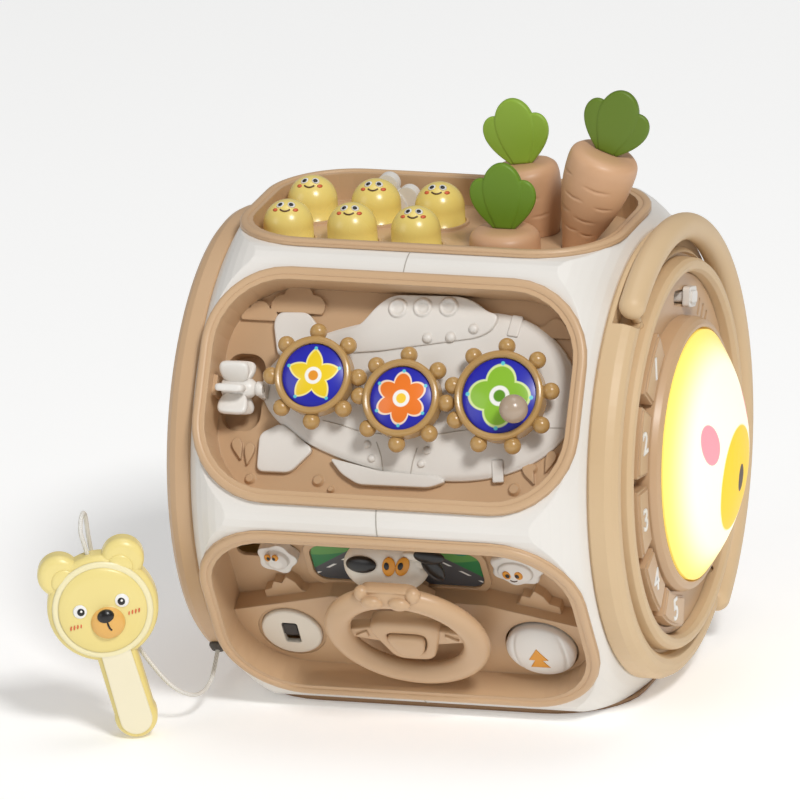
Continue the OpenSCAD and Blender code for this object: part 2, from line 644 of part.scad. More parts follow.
module power_switch() {
  color([0.25, 0.25, 0.26]) on_face(2) translate([disc_c[0], disc_c[1] + 2.6, 0]) {
    slab(6.8, 7.6, 1.2, -dash_depth - 4, -dash_depth + 1.6);
    translate([0, -2.6, 0]) slab(9, 11.4, 1.4, -dash_depth - 5.6, -dash_depth - 1.8);
  }
}

module shell_button() {
  color([0.95, 0.94, 0.92]) on_face(2) translate([shell_c[0], shell_c[1], -dash_depth]) rotate_extrude()
    polygon([[0, -8], [shell_r, -8], [shell_r, 1.6], [shell_r - 1, 3.4], [shell_r - 3.4, 4.8], [8.4, 6], [0, 6.6]]);
}

module steering_wheel() {
  w = wheel_tube;
  t = wheel_thick;
  color([0.8, 0.67, 0.54]) on_face(2) on_column() difference() {
    union() {
      translate([0, 0, wheel_z]) rotate_extrude($fn = 96) translate([wheel_r, 0])
        polygon([for (k = [0:23]) [w * cos(15 * k), t * sin(15 * k)]]);
      translate([0, 0, -drive_depth - 5]) cylinder(r = 7, h = drive_depth + wheel_z + 2);
      translate([0, 0, -drive_depth - 7.5]) cylinder(r = 9, h = 3);
      translate([0, 0, wheel_z - 5]) linear_extrude(5.4)
        polygon([[-31, 2.5], [-14, 6.5], [14, 6.5], [31, 2.5], [31, -3.5], [13, -7], [-13, -7], [-31, -3.5]]);
      translate([0, 0, wheel_z - 6]) linear_extrude(8.4)
        polygon([[-12, 9.5], [12, 9.5], [17.5, 6], [17, 1], [13.4, -8], [10.5, -18], [-10.5, -18], [-13.4, -8], [-17, 1], [-17.5, 6]]);
      for (s = [-1, 1]) translate([s * 23, 0.5, wheel_z - 1]) linear_extrude(2.6) polygon([[-3.4, -2.6], [3.4, -1.6], [-3.4, 3]]);
      paws();
    }
    translate([0, horn_y, wheel_z - 2.6]) linear_extrude(10) polygon(rr_pts(20.6, 15.6, 6.3, 8));
  }
}

// The driver's arms and paws, which hold the top of the wheel
module paws() {
  translate([0, wheel_r + 6, wheel_z - 4]) linear_extrude(6.4) polygon([[-14, -6], [-16, 0], [-13, 4.5], [13, 4.5], [16, 0], [14, -6]]);
  for (s = [-1, 1]) {
    translate([13.4 * s, wheel_r + 6.4, wheel_z]) sphere(r = 4.8, $fn = 40);
    translate([8.6 * s, wheel_r + 3.4, wheel_z + 3.2]) sphere(r = 4.3, $fn = 40);
  }
}

module horn_button() {
  color([0.82, 0.7, 0.57]) on_face(2) on_column() translate([0, horn_y, wheel_z]) {
    slab(19.6, 14.6, 5.8, 0.4, 4);
    slab(17.6, 12.6, 4.8, 3.8, 5.4);
  }
}

base_depth = 5;

module base_tray() {
  color([0.66, 0.53, 0.41]) on_face(3) difference() {
    union() {
      tub(base_depth);
      for (x = [30, 55]) translate([x - 1.2, -50, -base_depth - 0.5]) cube([2.4, 100, 3.5]);
    }
    translate([box_x - box_w / 2, -box_l / 2, -base_depth - 10]) cube([box_w, box_l, 20]);
  }
}

back_knob_c = [-74 * kx, -39.5];
back_slot = 157 * kx;

module upper_back_tray() {
  color([0.78, 0.65, 0.52]) on_face(5) difference() {
    union() {
      tub(9);
      for (p = [[-40, 6, 15], [16, 10, 19], [62, 4, 13]]) translate([p[0], p[1], -9.5])
        linear_extrude(3) difference() {
          circle(r = p[2]);
          translate([-30, 0]) square([60, 30]);
        }
      translate([-56, 26, -9.5]) cylinder(r = 9, h = 3);
      translate([0, back_knob_c[1], 0]) slab(back_slot + 11, 14, 6.8, -9.5, -6.8);
    }
    slot_cut(0, back_knob_c[1], back_slot, 8.6, -20, 0);
  }
}

module back_knob() {
  color([0.95, 0.8, 0.3]) on_face(5) translate([back_knob_c[0], back_knob_c[1], 0]) {
    translate([0, 0, -14]) cylinder(r = 3.6, h = 22, $fn = 40);
    translate([0, 0, -14]) cylinder(r = 6.4, h = 2, $fn = 40);
    translate([0, 0, -6.3]) cylinder(r = 5.6, h = 4, $fn = 40);
    translate([0, 0, 11]) sphere(r = 8);
  }
}

module lower_back_tray() {
  color([0.78, 0.65, 0.52]) on_face(4) difference() {
    union() {
      tub(9);
      translate([0, 0, -9.5]) cylinder(r = 42, h = 2.5, $fn = 96);
      for (k = [0:11]) rotate([0, 0, 30 * k]) translate([36, 0, -7.5]) cylinder(r = 2.2, h = 2, $fn = 24);
      translate([0, 0, -7.5]) cylinder(r = post_r, h = 5.4);
      for (s = [-1, 1]) for (k = [-2:2]) translate([s * 66 - 9, 6 * k - 1.2, -9.5]) cube([18, 2.4, 2.3]);
    }
    for (s = [-1, 1]) for (k = [-2:1]) translate([s * 66 - 8, 6 * k + 1.8, -12]) cube([16, 2.4, 6]);
  }
}

module clock_hand() {
  color([0.95, 0.8, 0.3]) on_face(4) translate([0, 0, -6.4]) difference() {
    union() {
      cylinder(r = 8, h = 5.6);
      linear_extrude(3.4) polygon([[-3.4, 4], [-3.4, 24], [-6, 24], [0, 33], [6, 24], [3.4, 24], [3.4, 4]]);
    }
    translate([0, 0, -1]) cylinder(r = post_r + run_gap, h = 5.6);
  }
}

// Ring at the right end with the seat of the carry handle
module right_end_ring() {
  x0 = ring_x0;
  color([0.83, 0.73, 0.6]) on_end() difference() {
    union() {
      rotate_extrude($fn = 96) polygon([[ring_in, x0], [ring_r - 1.4, x0], [ring_r, x0 + 1.4], [ring_r, x0 + 9],
        [ring_r - 1.6, x0 + 12.6], [ring_r - 4.2, x0 + 14.8], [ring_r - 7, x0 + 15.4], [ring_r - 10, x0 + 14.4],
        [ring_in + 12, x0 + 12], [ring_in + 11.4, x0 + 9], [ring_in + 9.8, x0 + 9], [ring_in + 9.4, x0 + 16],
        [ring_in + 8, x0 + 18], [ring_in + 6, x0 + 18.6], [ring_in + 4, x0 + 18], [ring_in + 2.6, x0 + 16],
        [ring_in + 2, x0 + 5], [ring_in, x0 + 5]]);
    }
    rotate([0, 0, -handle_ang]) translate([0, 0, x0 + 3.6]) rotate_extrude(angle = 180, $fn = 96)
      polygon([[ring_in + 14.4, 0], [ring_in + 34, 0], [ring_in + 34, 30], [ring_in + 10.6, 30], [ring_in + 10.6, 9],
        [ring_in + 14.4, 5]]);
    for (s = [0, 180]) rotate([0, 0, -handle_ang + s]) translate([handle_c - 0.2, 0, x0 + 3.6]) cylinder(r = 10.6, h = 30);
    rotate([0, 0, -handle_ang]) translate([0, 0, handle_x]) rotate([0, 90, 0]) translate([0, 0, -ring_in - 15])
      cylinder(r = 2.4 + run_gap, h = 2 * ring_in + 30, $fn = 32);
  }
}

// Half-round carry handle that folds out on two pins
module carry_handle() {
  color([0.83, 0.73, 0.6]) on_end() rotate([0, 0, -handle_ang]) translate([0, 0, handle_x]) {
    rotate_extrude(angle = 180, $fn = 96) translate([handle_c, 0]) circle(r = handle_tube, $fn = 40);
    for (s = [0, 180]) rotate([0, 0, s]) {
      translate([handle_c, 0, 0]) sphere(r = handle_tube, $fn = 40);
      translate([ring_in + 4.6, 0, 0]) rotate([0, 90, 0]) cylinder(r = 2.4, h = 18, $fn = 32);
    }
  }
}

module key_shape(a, grow, z0, z1) {
  n = 6;
  r0 = key_in - grow;
  r1 = key_out + grow;
  w = key_span / 2;
  e0 = grow / r0 * 57.3;
  translate([0, 0, z0]) linear_extrude(z1 - z0) polygon(concat(
    [for (i = [0:n]) r0 * [cos(180 - a - w - e0 + 2 * (w + e0) * i / n), sin(180 - a - w - e0 + 2 * (w + e0) * i / n)]],
    [for (i = [n:-1:0]) r1 * [cos(180 - a - w - e0 + 2 * (w + e0) * i / n), sin(180 - a - w - e0 + 2 * (w + e0) * i / n)]]));
}

module right_end_plate() {
  color([0.78, 0.65, 0.52]) on_end() difference() {
    union() {
      translate([0, 0, plate_x - 3]) cylinder(r = plate_r, h = plate_t + 3, $fn = 96);
      rotate_extrude($fn = 96) polygon([[dome_r - 4, plate_x - 2], [dome_r + 6.4, plate_x - 2], [dome_r + 6, plate_x + 11],
        [dome_r + 4.6, plate_x + 14], [dome_r + 2.6, plate_x + 15.4], [dome_r + 1, plate_x + 15.4], [dome_r + 0.6, plate_x + 14],
        [dome_r + 0.6, plate_x + 10.4], [dome_r - 4, plate_x + 10.4]]);
    }
    translate([0, 0, plate_x - 10]) cylinder(r = plate_r - 3.2, h = 10, $fn = 96);
    translate([0, 0, plate_x - 20]) cylinder(r = dome_r - 1.4, h = 50, $fn = 96);
    for (a = key_ang) key_shape(a, move_gap, plate_x - 8, plate_x + 20);
    rotate([0, 0, 180 - 104]) translate([key_mid - 0.5, 0, 0]) slab(7, 24, 3, plate_x - 8, plate_x + 20);
    for (k = [0:2]) rotate([0, 0, 180 - 128 - 5 * k]) translate([key_mid - 0.5, 0, 0]) slab(9, 2.6, 1.2, plate_x - 8, plate_x + 20);
    for (k = [0:2]) rotate([0, 0, 180 - 150]) translate([key_in + 1 + 4.5 * k, 0, 0]) slab(2.2, 14, 1, plate_x - 8, plate_x + 20);
  }
}

module key(i) {
  color([0.72, 0.58, 0.45]) on_end() difference() {
    union() {
      key_shape(key_ang[i], 0, plate_x - 3.5, key_top - 1);
      key_shape(key_ang[i], -1.2, key_top - 1.5, key_top);
    }
  }
}

module key_1() { key(0); }
module key_2() { key(1); }
module key_3() { key(2); }
module key_4() { key(3); }
module key_5() { key(4); }

module mode_slider() {
  color([0.95, 0.94, 0.92]) on_end() rotate([0, 0, 180 - 104]) translate([key_mid - 0.5, -7, 0]) {
    slab(6, 9, 2, plate_x - 3.5, plate_x + plate_t + 5);
    slab(10, 12, 2, plate_x + plate_t + move_gap, plate_x + plate_t + 4);
    slab(10, 11.6, 2, plate_x - 3.5, plate_x - move_gap);
  }
}

module drum_dome() {
  sr = (dome_r * dome_r + dome_h * dome_h) / (2 * dome_h);
  half = asin(dome_r / sr);
  color([1, 0.97, 0.82]) on_end() rotate_extrude($fn = 96) polygon(concat(
    [[0, dome_x + dome_h - 2]], [for (k = [0:12]) [sr * sin(half * k / 12), dome_x + dome_h - sr + sr * cos(half * k / 12)]],
    [[dome_r, dome_x - 2.6]], [[dome_r - 2, dome_x - 2.6]], [[dome_r - 2, dome_x - 20]], [[dome_r - 4, dome_x - 20]],
    [for (k = [11:-1:1]) [(sr - 2) * sin(half * k / 12), dome_x + dome_h - sr + (sr - 2) * cos(half * k / 12)]]));
}

// Closed cap on the left end with its ring and raised rings
module left_end_cap() {
  x0 = ring_x0;
  color([0.8, 0.68, 0.55]) difference() {
    translate([0, 0, axis_z]) mirror([1, 0, 0]) rotate([90, 0, 90]) difference() {
      union() {
        rotate_extrude($fn = 96) polygon([[0, x0 + 4], [0, x0 + 7], [ring_in - 2, x0 + 7], [ring_in, x0 + 12], [ring_in + 3, x0 + 14.6],
          [ring_in + 7, x0 + 15.4], [ring_r - 8, x0 + 14.8], [ring_r - 4.2, x0 + 13.4], [ring_r - 1.6, x0 + 11.2], [ring_r, x0 + 8],
          [ring_r, x0 + 1.4], [ring_r - 1.4, x0], [ring_in - 1, x0], [ring_in - 1, x0 + 4]]);
        for (r = [30, 58]) translate([0, 0, x0 + 6.5]) difference() {
          cylinder(r = r, h = 2.5, $fn = 96);
          translate([0, 0, -1]) cylinder(r = r - 4, h = 6, $fn = 96);
        }
      }
      for (k = [0:5]) rotate([0, 0, 60 * k]) translate([44, 0, x0]) cylinder(r = 5, h = 20, $fn = 40);
    }
    cord_exit() translate([0, 0, -12]) cylinder(r = 3.2 + slip_gap, h = 30, $fn = 32);
  }
}

// Local frame of the mallet: origin at the head centre, y along the grip towards the head, z to the viewer
module on_mallet() {
  translate(mallet_tip) rotate([0, 0, mallet_yaw]) rotate([90, 0, 0]) rotate([0, 0, mallet_tilt])
    translate([0, grip_len, 0]) children();
}

mallet_edge = 4;

// Disc with rounded rims, centred on z = 0
module puck(r, t, e) {
  rotate_extrude() polygon(concat([[0, -t / 2]], arc_pts(r - e, e - t / 2, e, -90, 0, 8),
    arc_pts(r - e, t / 2 - e, e, 0, 90, 8), [[0, t / 2]]));
}

module hammer_shell() {
  color([0.93, 0.85, 0.5]) on_mallet() difference() {
    union() {
      puck(head_r, mallet_t, mallet_edge);
      translate([0, grip_r - grip_len, 0]) puck(grip_r, mallet_t - 0.4, mallet_edge);
      translate([0, grip_r - grip_len, 0]) rotate([-90, 0, 0]) linear_extrude(grip_len - grip_r - 4)
        polygon(rr_pts(2 * grip_r - 1.2, mallet_t - 0.8, mallet_edge, 6));
      for (s = [-1, 1]) translate([s * 16, 21, 0]) puck(10.5, mallet_t - 1.2, mallet_edge);
    }
    translate([0, 0, mallet_t / 2 - 2.4]) linear_extrude(5) union() {
      circle(r = head_r - 3);
      polygon([[-7, 0], [7, 0], [grip_r - 3, grip_r - grip_len], [3 - grip_r, grip_r - grip_len]]);
      translate([0, grip_r - grip_len]) circle(r = grip_r - 3);
    }
    translate([0, head_r - 6, 0]) rotate([-90, 0, 0]) cylinder(r = cord_d / 2 + 0.1, h = 10, $fn = 24);
  }
}

// Cream front of the mallet with the face disc, eyes, muzzle and nose
module hammer_front() {
  z0 = mallet_t / 2 - 2.4;
  color([0.95, 0.92, 0.8]) on_mallet() {
    translate([0, 0, z0]) linear_extrude(3.2) union() {
      circle(r = head_r - 3 - slip_gap);
      polygon([[-7 + slip_gap, 0], [7 - slip_gap, 0], [grip_r - 3 - slip_gap, grip_r - grip_len],
        [3 + slip_gap - grip_r, grip_r - grip_len]]);
      translate([0, grip_r - grip_len]) circle(r = grip_r - 3 - slip_gap);
    }
    translate([0, 0, z0 + 3]) rotate_extrude() polygon([[0, 0], [22, 0], [21.4, 1.2], [19, 2], [0, 2.6]]);
    translate([0, -6, z0 + 5]) rotate_extrude() polygon([[0, 0], [8.6, 0], [8, 2], [5.6, 4], [0, 4.8]]);
    for (s = [-1, 1]) translate([s * 10.5, 3, z0 + 4.6]) cylinder(r = 4, h = 1.4, $fn = 40);
  }
}

// Where the cord leaves the left end cap: local z points out of the cap
exit_ang = 54.6;
exit_x = -ring_x0 - 5.5;
module cord_exit() {
  translate([exit_x, 0, axis_z]) rotate([90 + exit_ang, 0, 0]) translate([0, 0, ring_r]) children();
}

module cord_grommet() {
  color([0.3, 0.28, 0.26]) cord_exit() difference() {
    union() {
      translate([0, 0, -10]) cylinder(r = 3.2, h = 11, $fn = 32);
      rotate_extrude($fn = 40) polygon([[0, 0.05], [4.4, 0.05], [4.4, 1.2], [2.8, 3.2], [0, 3.2]]);
    }
    translate([0, 0, -12]) cylinder(r = cord_d / 2 + 0.3, h = 20, $fn = 24);
  }
}

// Route of the cord from inside the end cap to the top of the mallet head
exit_dir = [0, -cos(exit_ang), -sin(exit_ang)];
exit_at = [exit_x, 0, axis_z] + ring_r * exit_dir;
head_at = mallet_tip + grip_len * [-sin(mallet_tilt) * cos(mallet_yaw), -sin(mallet_tilt) * sin(mallet_yaw), cos(mallet_tilt)];
head_dir = (head_at - mallet_tip) / grip_len;
cord_route = concat([exit_at - 10 * exit_dir, exit_at - 5 * exit_dir, exit_at + 1 * exit_dir, exit_at + 6 * exit_dir],
  [[-105.4, -77, 14.5], [-105.6, -91, 12.5], [-108, -103, 15], [-115.5, -109, 21.5], [-125.5, -109.5, 33],
   [-136, -110.5, 49], [-144.5, -113, 68], [-149.5, -116, 87], [-151, -117.4, 98], [-151.3, -118.6, 106],
   [-151.1, -121, 110.8], [-150.8, -124.9, 112.6], [-150.5, -128.7, 110.8]],
  [head_at + (head_r + 11.5) * head_dir, head_at + (head_r + 5) * head_dir, head_at + (head_r + 1) * head_dir,
   head_at + (head_r - 4) * head_dir]);

function blend_pt(a, b, c, d, t) =
  0.5 * (2 * b + (c - a) * t + (2 * a - 5 * b + 4 * c - d) * t * t + (3 * b - a - 3 * c + d) * t * t * t);
cord_steps = 4;
cord_n = len(cord_route) - 1;
cord_pts = concat([for (i = [0:cord_n - 1]) for (k = [0:cord_steps - 1])
  blend_pt(cord_route[max(i - 1, 0)], cord_route[i], cord_route[i + 1], cord_route[min(i + 2, cord_n)], k / cord_steps)],
  [cord_route[cord_n]]);
function unit(v) = v / norm(v);
function cord_dir(i) = unit(cord_pts[min(i + 1, len(cord_pts) - 1)] - cord_pts[max(i - 1, 0)]);
function cord_side(i, n, acc) = i == len(cord_pts) ? acc :
  let (t = cord_dir(i), m = unit(n - (n * t) * t)) cord_side(i + 1, m, concat(acc, [m]));
cord_sides = cord_side(0, [1, 0, 0], []);
function add_up(i) = i == 0 ? 0 : norm(cord_pts[i] - cord_pts[i - 1]) + add_up(i - 1);
echo(cord_length = add_up(len(cord_pts) - 1));

module hammer_cord() {
  n = len(cord_pts) - 1;
  color([0.95, 0.95, 0.93]) polyhedron(
    points = [for (i = [0:n]) for (j = [0:7]) let (t = cord_dir(i), u = cord_sides[i], v = cross(t, u))
      cord_pts[i] + cord_d / 2 * (cos(45 * j) * u + sin(45 * j) * v)],
    faces = concat([[7, 6, 5, 4, 3, 2, 1, 0]],
      [for (i = [0:n - 1]) for (j = [0:7]) [8 * i + j, 8 * i + (j + 1) % 8, 8 * i + 8 + (j + 1) % 8, 8 * i + 8 + j]],
      [[for (j = [0:7]) 8 * n + j]]));
}

// Loudspeaker behind the slits of the lower back tray
module speaker() {
  color([0.2, 0.2, 0.2]) on_face(4) translate([66, 0, -11]) rotate([180, 0, 0]) {
    cylinder(r = 18, h = 3);
    translate([0, 0, 2.5]) cylinder(r1 = 15, r2 = 9, h = 8);
    translate([0, 0, 10]) cylinder(r = 9, h = 5);
  }
}

cell_r = 7;
cell_len = 50;
box_x = -30;
box_w = cell_len + 4;
box_l = 6 * cell_r + 4;
box_in = 2 * cell_r + 3;

module battery_box() {
  color([0.3, 0.3, 0.32]) on_face(3) translate([box_x, 0, -base_depth - tray_wall]) difference() {
    translate([-box_w / 2 - 2, -box_l / 2 - 2, -box_in - 2]) cube([box_w + 4, box_l + 4, box_in + 2]);
    translate([-box_w / 2, -box_l / 2, -box_in]) cube([box_w, box_l, box_in + 5]);
  }
}

module batteries() {
  color([0.75, 0.72, 0.66]) on_face(3) translate([box_x, 0, -base_depth - tray_wall - box_in + cell_r + 0.1])
    for (k = [-1:1]) translate([-cell_len / 2 + 1, k * (2 * cell_r + 0.4), 0]) rotate([0, 90, 0]) {
      cylinder(r = cell_r, h = cell_len - 2, $fn = 40);
      translate([0, 0, cell_len - 2.5]) cylinder(r = 2.6, h = 1.7, $fn = 32);
    }
}

module battery_door() {
  color([0.7, 0.57, 0.45]) on_face(3) translate([box_x, 0, -base_depth]) {
    slab(box_w + 12, box_l + 12, 5, 0, 1.6);
    for (k = [-3:3]) translate([k * 5 - 1, -10, 1.2]) cube([2, 20, 1]);
  }
}

shell_left();
shell_right();
top_tray();
gear_tray();
drive_tray();
base_tray();
lower_back_tray();
upper_back_tray();
right_end_ring();
right_end_plate();
left_end_cap();
carry_handle();
drum_dome();
key_1();
key_2();
key_3();
key_4();
key_5();
mode_slider();
mole_1();
mole_2();
mole_3();
mole_4();
mole_5();
mole_6();
mole_springs();
carrot_front();
carrot_back();
carrot_right();
leaf_front();
leaf_back();
leaf_right();
flower_spinner();
airship_panel();
gear_left();
gear_middle();
gear_right();
crank_knob();
paddle_wheel();
steering_wheel();
horn_button();
driver_head();
windscreen_card();
left_slider();
right_slider();
switch_plate();
power_switch();
shell_button();
back_knob();
clock_hand();
hammer_shell();
hammer_front();
hammer_cord();
cord_grommet();
main_board();
speaker();
battery_box();
batteries();
battery_door();
screws();
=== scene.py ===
import math

import bmesh
import bpy
from mathutils import Matrix, Vector


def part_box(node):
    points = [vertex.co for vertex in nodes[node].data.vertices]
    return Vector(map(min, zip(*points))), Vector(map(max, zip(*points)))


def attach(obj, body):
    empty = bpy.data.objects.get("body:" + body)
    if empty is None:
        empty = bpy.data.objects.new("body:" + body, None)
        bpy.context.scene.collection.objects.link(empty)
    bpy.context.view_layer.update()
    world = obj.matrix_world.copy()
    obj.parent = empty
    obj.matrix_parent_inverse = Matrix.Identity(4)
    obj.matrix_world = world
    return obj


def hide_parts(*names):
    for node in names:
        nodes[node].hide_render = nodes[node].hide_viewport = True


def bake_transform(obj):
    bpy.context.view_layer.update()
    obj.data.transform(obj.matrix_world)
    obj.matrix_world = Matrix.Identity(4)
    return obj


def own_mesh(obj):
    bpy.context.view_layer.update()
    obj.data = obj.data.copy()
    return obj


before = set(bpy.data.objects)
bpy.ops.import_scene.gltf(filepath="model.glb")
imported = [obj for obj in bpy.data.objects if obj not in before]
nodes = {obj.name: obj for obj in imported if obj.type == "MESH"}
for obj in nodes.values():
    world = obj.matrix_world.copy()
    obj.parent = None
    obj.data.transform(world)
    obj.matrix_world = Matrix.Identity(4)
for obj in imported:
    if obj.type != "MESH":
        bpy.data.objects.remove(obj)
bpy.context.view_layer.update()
print("frame loaded:", len(nodes), "nodes")

axisHeight = 0.1175
flatDist = 0.115


def turned(degrees, axis):
    return Matrix.Rotation(math.radians(degrees), 4, axis)


# millimetres of a place to metres in the shared frame
def placed(x, y, z, at):
    m = Matrix.Identity(4)
    for i in range(3):
        m[i][0], m[i][1], m[i][2], m[i][3] = x[i] / 1000, y[i] / 1000, z[i] / 1000, at[i]
    return m


def faceMatrix(k):
    a = math.radians(60 * k)
    y = Vector((0, math.cos(a), math.sin(a)))
    z = Vector((0, -math.sin(a), math.cos(a)))
    return placed((1, 0, 0), y, z, Vector((0, 0, axisHeight)) + z * flatDist)


# places: faces of the hexagon, the drum end and the head of the mallet
topFace, gearFace, driveFace, lowBackFace, highBackFace = [faceMatrix(k) for k in (0, 1, 2, 4, 5)]
drumEnd = placed((0, 1, 0), (0, 0, 1), (1, 0, 0), (0, 0, axisHeight))
malletPlace = {"tip": (-126.4, -123.5, 1.0), "yaw": 18.2, "tilt": 13.5, "reach": 68.5}
malletHead = Matrix.Scale(0.001, 4) @ Matrix.Translation(malletPlace["tip"]) @ turned(malletPlace["yaw"], "Z")
malletHead = malletHead @ turned(90, "X") @ turned(malletPlace["tilt"], "Z")
malletHead = malletHead @ Matrix.Translation((0, malletPlace["reach"], 0))

# camera: a long lens, so the lines of the body stay almost parallel as in the photo
view = {"azimuth": 18.203, "elevation": 18.011, "roll": -2.61, "distance": 9.7465, "lensPx": 20000,
        "right": 55.85, "down": 40.57, "sensor": 36, "picture": 800, "far": 100}


def addCamera():
    az, el, roll = (math.radians(view[k]) for k in ("azimuth", "elevation", "roll"))
    back = Vector((math.sin(az) * math.cos(el), -math.cos(az) * math.cos(el), math.sin(el)))
    level = Vector((math.cos(az), math.sin(az), 0))
    upright = back.cross(level)
    right = level * math.cos(roll) + upright * math.sin(roll)
    up = upright * math.cos(roll) - level * math.sin(roll)
    step = view["distance"] / view["lensPx"]
    at = Vector((0, 0, axisHeight)) + back * view["distance"]
    at = at - right * view["right"] * step + up * view["down"] * step
    data = bpy.data.cameras.new("camera")
    data.sensor_width = view["sensor"]
    data.lens = view["lensPx"] / view["picture"] * view["sensor"]
    data.clip_end = view["far"]
    camera = bpy.data.objects.new("camera", data)
    camera.matrix_world = Matrix(((right.x, up.x, back.x, at.x), (right.y, up.y, back.y, at.y),
                                  (right.z, up.z, back.z, at.z), (0, 0, 0, 1)))
    bpy.context.scene.collection.objects.link(camera)
    bpy.context.scene.camera = camera


# shader maths: a wrapped socket, so that masks read as plain expressions
class Value:
    def __init__(self, paint, socket):
        self.paint = paint
        self.socket = socket

    def math(self, operation, a, b=0.0):
        return self.paint.node("ShaderNodeMath", {"operation": operation}, {0: a, 1: b})

    def __add__(self, other):
        return self.math("ADD", self, other)

    def __sub__(self, other):
        return self.math("SUBTRACT", self, other)

    def __mul__(self, other):
        return self.math("MULTIPLY", self, other)

    def __truediv__(self, other):
        return self.math("DIVIDE", self, other)

    def __pow__(self, other):
        return self.math("POWER", self, other)

    def __radd__(self, other):
        return self.math("ADD", other, self)

    def __rsub__(self, other):
        return self.math("SUBTRACT", other, self)

    def __rmul__(self, other):
        return self.math("MULTIPLY", other, self)

    def __rtruediv__(self, other):
        return self.math("DIVIDE", other, self)

    def __abs__(self):
        return self.math("ABSOLUTE", self)

    def most(self, other):
        return self.math("MAXIMUM", self, other)

    def wave(self):
        return self.math("SINE", self)

    def part(self):
        return self.math("FRACT", self)

    # 0 below low, 1 above high, soft between
    def step(self, low, high):
        return self.paint.node("ShaderNodeMapRange", {"interpolation_type": "SMOOTHSTEP"},
                               {"Value": self, "From Min": low, "From Max": high})


def linear(r, g, b):
    tones = [c / 255 / 12.92 if c <= 10 else ((c / 255 + 0.055) / 1.055) ** 2.4 for c in (r, g, b)]
    return tuple(tones) + (1.0,)


class Paint:
    def __init__(self, name):
        self.material = bpy.data.materials.new(name)
        self.material.use_nodes = True
        self.tree = self.material.node_tree
        self.shader = self.tree.nodes["Principled BSDF"]

    def node(self, kind, settings, sockets, out=0):
        made = self.tree.nodes.new(kind)
        for key, value in settings.items():
            setattr(made, key, value)
        for key, value in sockets.items():
            self.feed(made.inputs[key], value)
        return Value(self, made.outputs[out])

    def feed(self, socket, value):
        if isinstance(value, Value):
            self.tree.links.new(value.socket, socket)
        else:
            socket.default_value = value

    def place(self):
        return self.node("ShaderNodeTexCoord", {}, {}, "Object")

    # coordinates in millimetres of a flat place such as a tray or the drum end
    def flat(self, matrix):
        inverse = matrix.inverted()
        mapped = self.node("ShaderNodeMapping", {"vector_type": "POINT"},
                           {"Vector": self.place(), "Location": inverse.to_translation(),
                            "Rotation": inverse.to_euler("XYZ"), "Scale": (1000, 1000, 1000)})
        split = self.node("ShaderNodeSeparateXYZ", {}, {0: mapped}).socket.node
        return [Value(self, split.outputs[i]) for i in range(3)]

    def noise(self, scale, detail=2.0):
        sockets = {"Vector": self.place(), "Scale": scale, "Detail": detail}
        return self.node("ShaderNodeTexNoise", {}, sockets, "Fac")

    def mix(self, mask, a, b):
        return self.node("ShaderNodeMix", {"data_type": "RGBA"}, {0: mask, 6: a, 7: b}, 2)

    def bump(self, height, strength, distance, under=None):
        sockets = {"Height": height, "Strength": strength, "Distance": distance}
        if under is not None:
            sockets["Normal"] = under
        return self.node("ShaderNodeBump", {}, sockets)

    def set(self, **values):
        for key, value in values.items():
            self.feed(self.shader.inputs[key.replace("_", " ")], value)
        return self.material


# moulded plastic: soft tone drift, uneven gloss, fine mould grain and rounded mould edges
mould = {"drift": 9.0, "gloss": 60.0, "grain": 1500.0, "grainHigh": 0.0002, "edge": 0.0009, "edgeSamples": 4,
         "coatRough": 0.25}


def moulded(name, colour, shade, rough, coat=0.12, grain=0.05):
    p = Paint(name)
    drift = p.noise(mould["drift"], 3.0)
    fine = p.noise(mould["grain"])
    edge = p.node("ShaderNodeBevel", {"samples": mould["edgeSamples"]}, {"Radius": mould["edge"]})
    return p.set(Base_Color=p.mix((drift * 1.6 - 0.3).step(0.0, 1.0), linear(*shade), linear(*colour)),
                 Roughness=rough - 0.05 + p.noise(mould["gloss"]) * 0.1,
                 Coat_Weight=coat, Coat_Roughness=mould["coatRough"],
                 Normal=p.bump(fine, grain, mould["grainHigh"], edge))


def coatNode(material, *names):
    for n in names:
        mesh = nodes[n].data
        mesh.materials.clear()
        mesh.materials.append(material)


# meshes and the pieces made from them
def finishMesh(name, mesh, smooth=True):
    work = bmesh.new()
    work.from_mesh(mesh)
    bmesh.ops.remove_doubles(work, verts=work.verts, dist=1e-6)
    bmesh.ops.recalc_face_normals(work, faces=work.faces)
    work.to_mesh(mesh)
    work.free()
    mesh.polygons.foreach_set("use_smooth", [smooth] * len(mesh.polygons))
    return linked(name, mesh)


def linked(name, data):
    piece = bpy.data.objects.new(name, data)
    bpy.context.scene.collection.objects.link(piece)
    return piece


def treeResult(piece):
    bpy.context.view_layer.update()
    return bpy.data.meshes.new_from_object(piece.evaluated_get(bpy.context.evaluated_depsgraph_get()))


